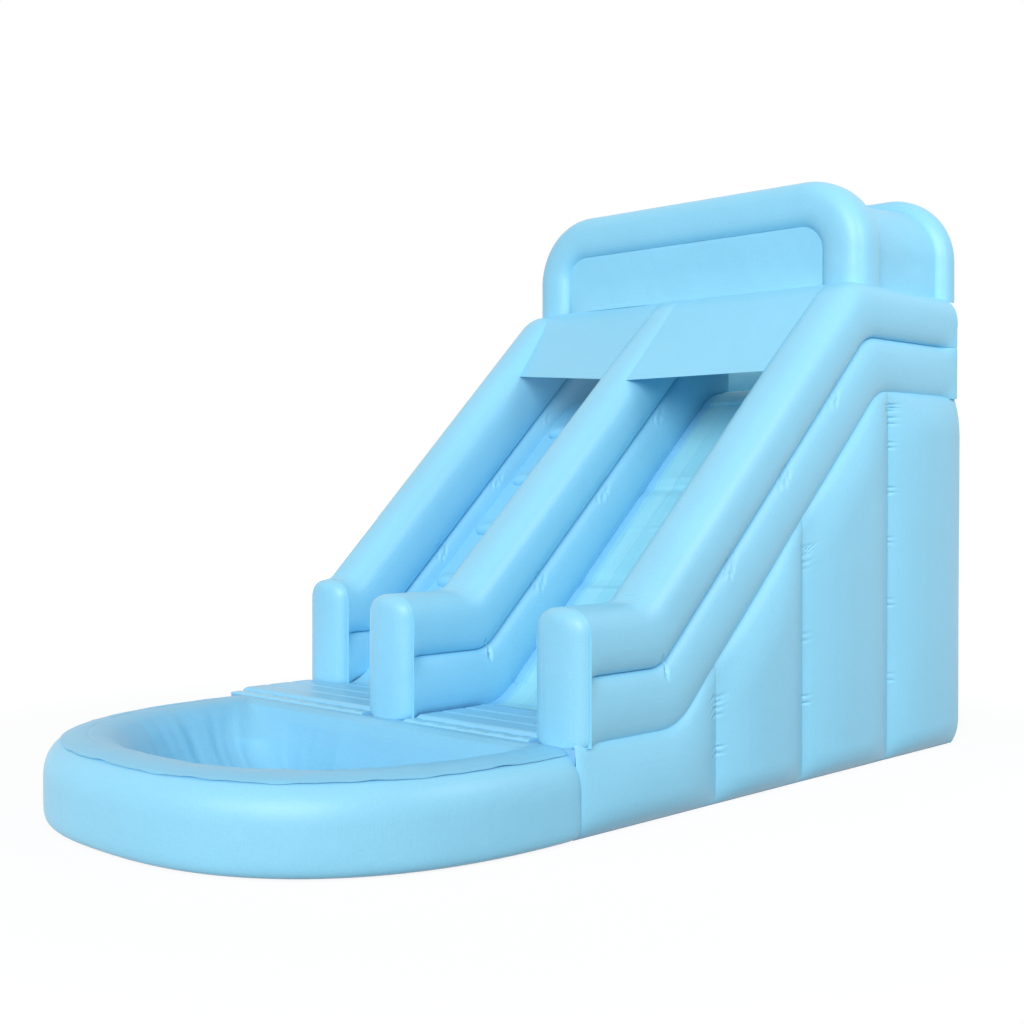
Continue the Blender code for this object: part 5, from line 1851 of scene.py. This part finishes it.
@dataclass
class SplashPool:
    """The tube round the splash pool, the loose liner over it and the floor under the basin."""

    finishes: Finishes
    length: float = 2.415
    half_width: float = 2.025
    straight: float = 0.16
    plan_power: float = 2.47
    high: float = 0.605
    wide: float = 0.56
    top_power: float = 2.5
    foot_power: float = 7.0
    floor: float = 0.021
    hem_height: float = 0.568
    cover_rows: int = 46
    liner_flat: tuple[float, float] = (5.1, 3.6)

    def outline(self, inset: Array, back: Array, steps: int) -> Array:
        """The pool's outline at several insets, from its right end round the front to its left.

        Args:
            inset: (rows,) how far in from the outer face each row lies.
            back: (rows,) how far its ends stay from the slide body.
            steps: Steps of a quarter of the pool.

        Returns:
            (rows, n, 2) places (x, y).
        """
        reach = self.half_width - inset[:, None]
        straight = np.maximum(self.straight, back + 0.06)[:, None]
        run = self.length - straight - inset[:, None]
        turn = np.linspace(0, math.pi / 2, steps + 1)
        bend = np.stack([reach * round_cosine(turn, self.plan_power)[None],
                         -straight - run * round_sine(turn, self.plan_power)[None]], -1)
        part = np.linspace(0, 1, 8, endpoint=False)[None]
        ends = np.stack([reach + 0 * part, -back[:, None] + (back[:, None] - straight) * part], -1)
        right = np.concatenate([ends, bend], 1)
        right[..., 0] -= 0.02 * np.exp(right[..., 1] / 0.05)
        return np.concatenate([right, right[:, -2::-1] * (-1, 1)], 1)

    def section(self, count: int) -> tuple[Array, Array]:
        """The tube's section, with its flat foot.

        Args:
            count: How many places it has.

        Returns:
            How far in from the outer face each place lies, and its height.
        """
        turn = 2 * math.pi * (np.arange(count) + 0.5) / count
        power = np.where(np.sin(turn) > 0, self.top_power, self.foot_power)
        inset = self.wide / 2 * (1 - round_cosine(turn, power))
        return inset, np.maximum(self.high / 2 * (1 + round_sine(turn, power)), 0.0)

    def wall(self) -> None:
        """The tube round the pool, with faint upright gathers on its outer face."""
        inset, level = self.section(64)
        lines = self.outline(inset, np.full(len(inset), 0.0005), 90)
        places = points(lines[..., 0], lines[..., 1], level[:, None]).transpose(1, 0, 2)
        chance = np.random.default_rng(61)
        creases = []
        outer = self.outline(np.array([0.0]), np.array([0.0]), 90)[0]
        for n in range(24):
            index = 8 + int((len(outer) - 16) * (n + chance.uniform(0.1, 0.9)) / 24)
            x, y = outer[index]
            z = chance.uniform(0.2, 0.46)
            for k in range(int(chance.integers(2, 5))):
                creases.append(Gather((x + 0.02 * k, y, z), (0, 0, 1), chance.uniform(0.03, 0.05), 0.010,
                                      chance.uniform(0.0015, 0.003)))
        inflated("pool_wall", pressed(places, creases, wrap=True), self.finishes.pool)

    def profile(self) -> tuple[Array, Array, int]:
        """The liner's section from its hem over the tube to the floor.

        Returns:
            How far in from the tube's outer face each place lies, its height, and the crown's row.
        """
        inset, level = self.section(256)
        half = len(inset) // 2
        keep = np.flatnonzero(level[:half] > self.hem_height)
        over = np.stack([inset[keep], level[keep] + 0.0035], -1)
        run = lengths_of(over)
        at = run[-1] * np.linspace(0, 1, self.cover_rows)
        over = np.stack([np.interp(at, run, part) for part in over.T], -1)
        share = np.linspace(0, 1, 56)[1:] ** 0.9
        low = over[-1, 1]
        sunk = np.interp(share, (0, 0.3, 0.6, 0.8, 0.92, 1), (0, 0.42, 0.8, 0.94, 0.985, 1))
        height = low - (low - self.floor) * sunk
        deep = (low - height) / (low - self.floor)
        inner = slice(half - 1, half // 2 - 2, -1)
        flank = np.interp(np.maximum(height, self.high / 2), level[inner], inset[inner])
        down = np.stack([flank + 0.007 * np.clip(deep * 8, 0, 1) + 0.5 * deep ** 2.1, height], -1)
        line = np.concatenate([over, down])
        mean = np.convolve(np.ones(5) / 5, np.ones(5) / 5)
        soft = np.stack([np.convolve(np.pad(part, 4, mode="edge"), mean, "valid") for part in line.T], -1)
        line[self.cover_rows:] = soft[self.cover_rows:]
        line[-1] = down[-1]
        return *line.T, int(np.argmax(over[:, 1]))

    def liner(self) -> None:
        """The loose liner over the wall and down into the basin, in one piece with its apron."""
        inset, level, crown = self.profile()
        depth = np.clip((level[crown] - level) / (level[crown] - self.floor), 0, 1)
        depth[:crown] = 0
        back = 0.004 + 0.3 * np.interp(depth, (0, 0.01, 0.06, 0.2, 0.5, 0.8, 1), (0, 0.14, 0.3, 0.42, 0.58, 0.76, 1))
        lines = self.outline(inset, back, 84)
        rows = points(lines[..., 0], lines[..., 1], level[:, None])
        run = lengths_along(rows[:1].repeat(2, 0), 1)
        cover = self.rippled(rows[:crown + 1], run, crown)
        share = np.linspace(0, 1, 61)[None, :, None]
        lower = rows[crown:]
        apron = lower[:, -1][:, None] * (1 - share) + lower[:, 0][:, None] * share
        closed = np.concatenate([lower[:, :-1], apron[:, :-1]], 1)
        closed = self.softened(closed, 11 * np.clip(depth[crown:] * 2.2, 0, 1) ** 0.8)
        columns = lower.shape[1]
        closed = self.folded(closed, columns, run, depth[crown:])
        closed[0, :columns - 1] = cover[-1, :-1]
        closed[0, columns - 1] = cover[-1, -1]
        middle = closed[-1].mean(axis=0)
        shrink = np.linspace(1, 0, 16)[1:, None, None]
        floor = middle + (closed[-1][None] - middle) * shrink
        floor[..., 2] = np.maximum(self.floor, floor[..., 2])
        basin = bent_grid("basin", np.concatenate([closed, floor]), wrap=True)
        obj = tidied(joined("pool_liner_cloth", [bent_grid("cover", cover), basin]), closed=False, facing=(0, 0, 1))
        apply_modifier(obj, "SOLIDIFY", thickness=0.003, offset=1.0)
        smoothed(obj, 60)
        settle(obj, self.finishes.liner, ["pool_liner"])

    def softened(self, loops: Array, reach: Array) -> Array:
        """Rounds the corners of closed loops by a running mean.

        Args:
            loops: (rows, loop, 3) places.
            reach: (rows,) reach of the mean, in columns.

        Returns:
            The rounded loops.
        """
        waves = np.fft.fftfreq(loops.shape[1])[None, :, None]
        mean = np.exp(-2 * (math.pi * waves * reach[:, None, None]) ** 2)
        flat = np.fft.ifft(np.fft.fft(loops[..., :2], axis=1) * mean, axis=1).real
        return np.concatenate([flat, loops[..., 2:]], -1)

    def rippled(self, places: Array, run: Array, crown: int) -> Array:
        """The cover's places with its wavy hem and the ripples on the tube.

        Args:
            places: (rows, columns, 3) places from the hem to the crown.
            run: (columns,) length along the hem.
            crown: The crown's row.

        Returns:
            The moved places.
        """
        normal = facing_of(places, False, (0, 0, 1))
        rows = np.arange(len(places))[:, None]
        ends = np.clip(np.minimum(run, run[-1] - run) / 0.3, 0, 1)[None]
        slow = wavy(run, [(1.0, 0.97, 0.3), (0.7, 0.43, 1.9), (0.45, 0.23, 0.4)])[None]
        hem = np.clip(0.005 + 0.0036 * slow, 0.0008, 0.013) * np.exp(-rows / 3.2)
        ripple = wavy(run, [(0.5, 0.61, 0.9), (0.35, 0.31, 0.2), (0.2, 0.155, 2.0)])[None]
        skew = wavy(run[None] + rows * 0.012, [(0.45, 0.47, 0.0), (0.3, 0.21, 1.0)])
        soft = 0.0036 * (1 + 0.6 * ripple + 0.5 * skew) * np.clip(rows / crown, 0, 1)
        moved = places + normal * ((hem + np.clip(soft, 0, 0.01)) * ends)[..., None]
        moved[..., 2] -= 0.007 * slow * np.exp(-rows / 1.4) * ends
        return moved

    def folded(self, loops: Array, columns: int, run: Array, depth: Array) -> Array:
        """The basin's loops with soft upright folds on the tube's side and slanting ones on the apron.

        Args:
            loops: (rows, loop, 3) places from the crown to the floor.
            columns: How many of a loop's places follow the tube.
            run: (columns,) length along the hem.
            depth: (rows,) share of the way down.

        Returns:
            The moved places.
        """
        normal = facing_of(loops, True, (0, 0, 1))
        around = np.concatenate([run[:-1], run[-1] + np.linspace(0, 3.4, loops.shape[1] - columns + 1)])[None]
        deep = depth[:, None]
        hang = np.sin(math.pi * np.clip(deep * 0.96 + 0.04, 0, 1)) ** 0.7
        folds = wavy(around + 0.25 * deep, [(0.55, 0.52, 0.5), (0.4, 0.31, 1.4), (0.3, 0.19, 0.3)])
        broad = wavy(around - 0.5 * deep, [(0.6, 1.15, 2.0)])
        loose = np.where(np.arange(loops.shape[1]) < columns - 1, 1.0, 0.55)[None]
        ease = np.clip(np.arange(len(loops))[:, None] / 5, 0, 1)
        lift = 0.0085 * np.clip(folds + broad + 0.5, -0.1, None) * hang * loose * ease
        return loops + normal * lift[..., None]

    def build(self) -> None:
        """Makes the tube and the liner, and dresses the floor."""
        self.wall()
        self.liner()
        redress("pool_floor", self.finishes.inside)


# Fittings


@dataclass
class Fittings:
    """The anchor tabs and rings, the deflation zip with its flap, and the blower's collar."""

    finishes: Finishes
    rear_face: float = PLAN.length + PLAN.bulge
    wire: float = 0.005
    ring_half: float = 0.032
    ring_drop: float = 0.05
    loop: float = 0.036
    neck: float = 0.0127
    patch_half: tuple[float, float] = (0.06, 0.085)
    patch_corner: float = 0.02
    zip_x: float = 0.49
    zip_z: float = 0.42
    zip_length: float = 0.42
    zip_height: float = 0.05
    inlet_radius: float = 0.14
    inlet_length: float = 0.2
    strap_places: tuple[float, float] = (0.085, 0.145)

    def anchors(self) -> dict[str, tuple[Array, Array]]:
        """Where the anchors are sewn.

        Returns:
            Name of each anchor, with its place on the wall and the way that it faces.
        """
        side = -PLAN.half_width - PLAN.bulge
        back, left = np.array([0, 1.0, 0]), np.array([-1.0, 0, 0])
        spots = {"back_left": (-1.5 * PLAN.cell, self.rear_face, back),
                 "back_right": (1.5 * PLAN.cell, self.rear_face, back),
                 "front_left": (side, PLAN.side_seams[0] / 2, left),
                 "rear_left": (side, (PLAN.side_seams[-1] + PLAN.length) / 2, left)}
        return {f"{name}_anchor": (np.array([x, y, PLAN.anchor_height]), way) for name, (x, y, way) in spots.items()}

    def anchor(self, name: str, place: Array, outward: Array) -> None:
        """A webbing tab folded round the bar of a ring, on a stitched patch.

        Args:
            name: The anchor's name.
            place: Where it meets the wall.
            outward: The way that the wall faces.
        """
        across = np.array([-outward[1], outward[0], 0.0])
        up = np.array([0, 0, 1.0])
        radius = self.wire + 0.0004 + 0.0015
        centre = place + outward * self.neck
        turn = np.linspace(-math.pi / 2, math.pi / 2, 15)[:, None]
        loop = centre + outward * (radius * np.cos(turn)) + up * (radius * np.sin(turn))
        low = place + outward * 0.0032 + up * np.linspace(-0.06, -0.014, 9)[:, None]
        high = low[::-1] * (1, 1, -1) + np.array([0, 0, 2 * place[2]])
        path = np.concatenate([low, loop, high])
        half, thick = self.loop / 2, 0.0013
        section = np.array([(half, thick), (-half, thick), (-half, -thick), (half, -thick)])
        obj = chamber(f"{name}_tab_strap", swept(path, section, across))
        settle(obj, self.finishes.strap, [f"{name}_tab"])
        patch_rows = []
        (wide, high), corner = self.patch_half, self.patch_corner
        for v in np.linspace(-high, high, 15):
            cut = corner - math.sqrt(max(0.0, corner ** 2 - max(0.0, abs(v) - high + corner) ** 2))
            us = np.linspace(-wide + cut, wide - cut, 13)
            patch_rows.append(place + outward * 0.0012 + across * us[:, None] + up * v)
        patch = cloth(f"{name}_patch", np.array(patch_rows), tuple(outward), 0.0012)
        settle(patch, self.finishes.side)
        self.ring(name, centre, across)

    def ring(self, name: str, centre: Array, across: Array) -> None:
        """The D-shaped ring that hangs in a tab.

        Args:
            name: The anchor's name.
            centre: The middle of the ring's bar.
            across: The way that the bar runs.
        """
        turn = np.linspace(0, math.pi, 29)
        bow = np.stack([self.ring_half * np.cos(turn), -0.008 - (self.ring_drop - 0.008) * np.sin(turn)], -1)
        corner = 0.008
        arc = np.linspace(0, math.pi / 2, 6)[:-1]
        left = np.stack([-self.ring_half + corner - corner * np.cos(arc), -corner + corner * np.sin(arc)], -1)
        right = (left * (-1, 1))[::-1]
        bar = np.stack([np.linspace(-self.ring_half + corner, self.ring_half - corner, 15), np.zeros(15)], -1)
        flat = np.concatenate([bar, right, bow[1:-1], left])
        path = centre + across * flat[:, :1] + np.array([0, 0, 1.0]) * flat[:, 1:]
        way = np.cross(across, (0, 0, 1.0))
        rings = swept(path, circle(self.wire, 16), way, closed=True)
        settle(chamber(f"{name}_ring_wire", rings), self.finishes.steel, [f"{name}_ring"],
               body=name.replace("anchor", "ring_body"))

    def zip_closure(self) -> None:
        """The zip's tape and teeth, its slider and pull, and the flap over it."""
        face = self.rear_face + 0.0003
        half = self.zip_length / 2
        tape = block("deflation_zip_tape", (self.zip_x - half, face, self.zip_z - self.zip_height / 2),
                     (self.zip_x + half, face + 0.0022, self.zip_z + self.zip_height / 2), 0.0008, 2)
        tooth = block("tooth", (self.zip_x - half + 0.006, face + 0.002, self.zip_z - 0.005),
                      (self.zip_x - half + 0.0085, face + 0.0058, self.zip_z + 0.005), 0.0007, 1)
        apply_modifier(tooth, "ARRAY", count=int((self.zip_length - 0.012) / 0.004), use_relative_offset=False,
                       use_constant_offset=True, constant_offset_displace=(0.004, 0, 0))
        settle(joined("deflation_zip_tape", [tape, tooth]), self.finishes.tape, ["deflation_zip"])
        start = self.zip_x - half
        lows = face + 0.0063
        slider = block("zip_slider_body", (start, lows, self.zip_z - 0.01),
                       (start + 0.022, lows + 0.0045, self.zip_z + 0.01), 0.0015)
        bridge = block("bridge", (start + 0.005, lows + 0.004, self.zip_z - 0.003),
                       (start + 0.017, lows + 0.0079, self.zip_z + 0.003), 0.0012)
        pull = block("pull", (start + 0.012, lows + 0.005, self.zip_z - 0.0045),
                     (start + 0.03, lows + 0.0066, self.zip_z + 0.0045), 0.0006, 2)
        settle(joined("zip_slider_body", [slider, bridge, pull]), self.finishes.steel, ["zip_slider"],
               body="zip_slider_body")
        low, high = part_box("zip_flap_seam")
        seam = block("zip_flap_seam_cord", (low[0], low[1] - FRONT, low[2]),
                     (high[0], high[1] - FRONT, high[2]), 0.006)
        settle(seam, self.finishes.tube, ["zip_flap_seam"])
        low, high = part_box("zip_flap")
        xs = np.linspace(low[0], high[0], 61)
        zs = np.linspace(high[2], low[2], 21)
        wave = wavy(xs, [(0.0005, 0.17, 0.4), (0.0004, 0.09, 0.9)])[None] * np.linspace(0, 1, 21)[:, None]
        places = points(xs, high[1] - FRONT - 0.0011 + wave, zs[:, None])
        flap = cloth("zip_flap_cloth", places, (0, 1, 0), 0.0018)
        settle(flap, self.finishes.hung, ["zip_flap"], body="zip_flap_body")

    def collar(self) -> None:
        """The cloth collar for a blower's tube, with two straps round it."""
        x, z = PLAN.inlet
        start = self.rear_face + 0.0003
        run = np.linspace(0, self.inlet_length, 41)
        turn = np.linspace(0, 2 * math.pi, 96, endpoint=False)
        pinch = sum(0.006 * bell(run - at, 0.012) for at in self.strap_places)
        fold = wavy(turn, [(1.0, 2 * math.pi / 11, 0.3), (0.7, 2 * math.pi / 17, 1.0)])
        radius = self.inlet_radius - 0.0045 - pinch[:, None] + 0.0022 * fold[None] * np.clip(run / 0.05, 0, 1)[:, None]
        places = points(x + radius * np.cos(turn), (start + run)[:, None], z + radius * np.sin(turn))
        obj = tidied(bent_grid("blower_inlet_cloth", places, wrap=True), closed=False)
        apply_modifier(obj, "SOLIDIFY", thickness=0.004, offset=0.0)
        settle(smoothed(obj), self.finishes.tube, ["blower_inlet"])
        waist = self.inlet_radius - 0.006
        for n, at in enumerate(self.strap_places):
            path = points(x + waist * np.cos(turn), start + at, z + waist * np.sin(turn))
            section = np.array([(0.0125, 0.0012), (-0.0125, 0.0012), (-0.0125, -0.0012), (0.0125, -0.0012)])
            band = chamber(f"blower_inlet_strap_{n + 1}", swept(path, section, np.array([0, 1.0, 0]), closed=True))
            settle(band, self.finishes.strap)

    def build(self) -> None:
        """Makes every fitting."""
        for name, (place, outward) in self.anchors().items():
            self.anchor(name, place, outward)
        self.zip_closure()
        self.collar()


# Stage


@dataclass(frozen=True)
class Softbox:
    """A square lamp that looks at the object."""

    name: str
    place: tuple[float, float, float]
    side: float
    glow: float
    tint: Colour = (1.0, 1.0, 1.0)
    mirrored: bool = True


@dataclass(frozen=True)
class Stage:
    """A pale floor, soft light and a camera at the photograph's angle."""

    lens: float = 51.588
    camera: tuple[float, float, float] = (8.434, -8.8505, 2.364)
    turn: tuple[float, float, float] = (89.037, 0.0, 43.981)
    key: float = 1.85
    key_angle: float = 36.0
    key_turn: tuple[float, float, float] = (65.0, 0.0, 31.0)
    fill: float = 0.38
    floor_glow: float = 1.25
    floor_share: float = 0.72
    floor_fade: tuple[float, float] = (4.5, 16.0)
    boxes: tuple[Softbox, ...] = (Softbox("right_box", (9.5, 1.4, 8.0), 4.6, 3.8),
                                  Softbox("front_box", (1.0, -13.0, 4.6), 4.0, 3.5),
                                  Softbox("platform_box", (0.0, 3.0, 4.25), 0.9, 5.2,
                                          (1.0, 0.62, 0.42), False))

    def shot(self) -> None:
        """Places the camera."""
        data = bpy.data.cameras.new("camera")
        data.lens, data.sensor_width, data.clip_end = self.lens, 36.0, 200.0
        camera = bpy.data.objects.new("camera", data)
        camera.location = self.camera
        camera.rotation_euler = tuple(math.radians(angle) for angle in self.turn)
        bpy.context.scene.collection.objects.link(camera)
        bpy.context.scene.camera = camera

    def lights(self) -> None:
        """A broad soft key from the camera's side over an even world."""
        data = bpy.data.lights.new("key", "SUN")
        data.energy, data.angle = self.key, math.radians(self.key_angle)
        key = bpy.data.objects.new("key", data)
        key.rotation_euler = tuple(math.radians(angle) for angle in self.key_turn)
        bpy.context.scene.collection.objects.link(key)
        for box in self.boxes:
            data = bpy.data.lights.new(box.name, "AREA")
            data.shape, data.size, data.energy = "SQUARE", box.side, box.glow * math.pi * box.side ** 2
            data.color = box.tint
            lamp = bpy.data.objects.new(box.name, data)
            lamp.location = box.place
            aim = np.array(box.place) - np.array([0.3, 0.0, 2.0])
            flat = math.hypot(aim[0], aim[1])
            lamp.rotation_euler = (math.atan2(flat, aim[2]), 0, math.atan2(aim[0], -aim[1]))
            lamp.visible_camera = False
            lamp.visible_glossy = box.mirrored
            bpy.context.scene.collection.objects.link(lamp)
        bpy.context.scene.world = bpy.data.worlds.new("world")
        graph = Graph(bpy.context.scene.world)
        lit = graph.node("ShaderNodeBackground", inputs={"Color": (0.97, 0.985, 1.0, 1), "Strength": self.fill})
        seen = graph.node("ShaderNodeBackground", inputs={"Color": (1, 1, 1, 1), "Strength": 1.0})
        graph.end(graph.node("ShaderNodeMixShader", inputs={0: self.shown(graph), 1: lit, 2: seen}), "World")

    def shown(self, graph: Graph) -> Wire:
        """Marks the rays that show a background.

        Args:
            graph: The graph that asks.

        Returns:
            1 on those rays and 0 on those that light the object.
        """
        rays = graph.tree.nodes.new("ShaderNodeLightPath")
        camera, glossy, through = (Wire(graph, rays.outputs[name]) for name in
                                   ("Is Camera Ray", "Is Glossy Ray", "Is Transmission Ray"))
        return camera.bigger(glossy).bigger(through)

    def floor(self) -> None:
        """The floor, which fades into the background and keeps a soft shadow near the object."""
        graph = Graph.of_material("pale_floor")
        speck = graph.noise(graph.place(), 40, 2.0)
        colour = graph.blend(speck, (0.38, 0.385, 0.39), (0.42, 0.425, 0.43))
        matt = graph.node("ShaderNodeBsdfDiffuse", inputs={"Color": colour})
        bright = graph.node("ShaderNodeEmission", inputs={"Color": (1, 1, 1, 1), "Strength": self.floor_glow})
        away = graph.node("ShaderNodeVectorMath", {"operation": "LENGTH"}, {0: graph.place()}, output=1)
        share = self.shown(graph) * (away.band(*self.floor_fade) * (1 - self.floor_share) + self.floor_share)
        graph.end(graph.node("ShaderNodeMixShader", inputs={0: share, 1: matt, 2: bright}))
        clear_selection()
        bpy.ops.mesh.primitive_plane_add(size=160, location=(0, 0, -0.001))
        plane = bpy.context.active_object
        plane.name = "studio_floor"
        bpy.ops.object.transform_apply(location=True, rotation=True, scale=True)
        plane.data.materials.append(graph.owner)

    def build(self) -> None:
        """Clears Blender's own cube, camera and light away and makes the stage."""
        for spare in [obj for obj in bpy.data.objects if obj.name in ("Cube", "Camera", "Light")]:
            bpy.data.objects.remove(spare)
        self.shot()
        self.lights()
        self.floor()
        bpy.context.scene.view_settings.view_transform = "Standard"


def main() -> None:
    """Builds the stage and every sub-assembly in order."""
    logging.basicConfig(level=logging.INFO, format="%(message)s")
    Stage().build()
    finishes = Finishes()
    rails = Rails(finishes)
    for part in (SlideBody(finishes), rails, Lanes(finishes), Arches(finishes, rails), SplashPool(finishes),
                 Fittings(finishes)):
        part.build()


if __name__ == "__main__":
    main()
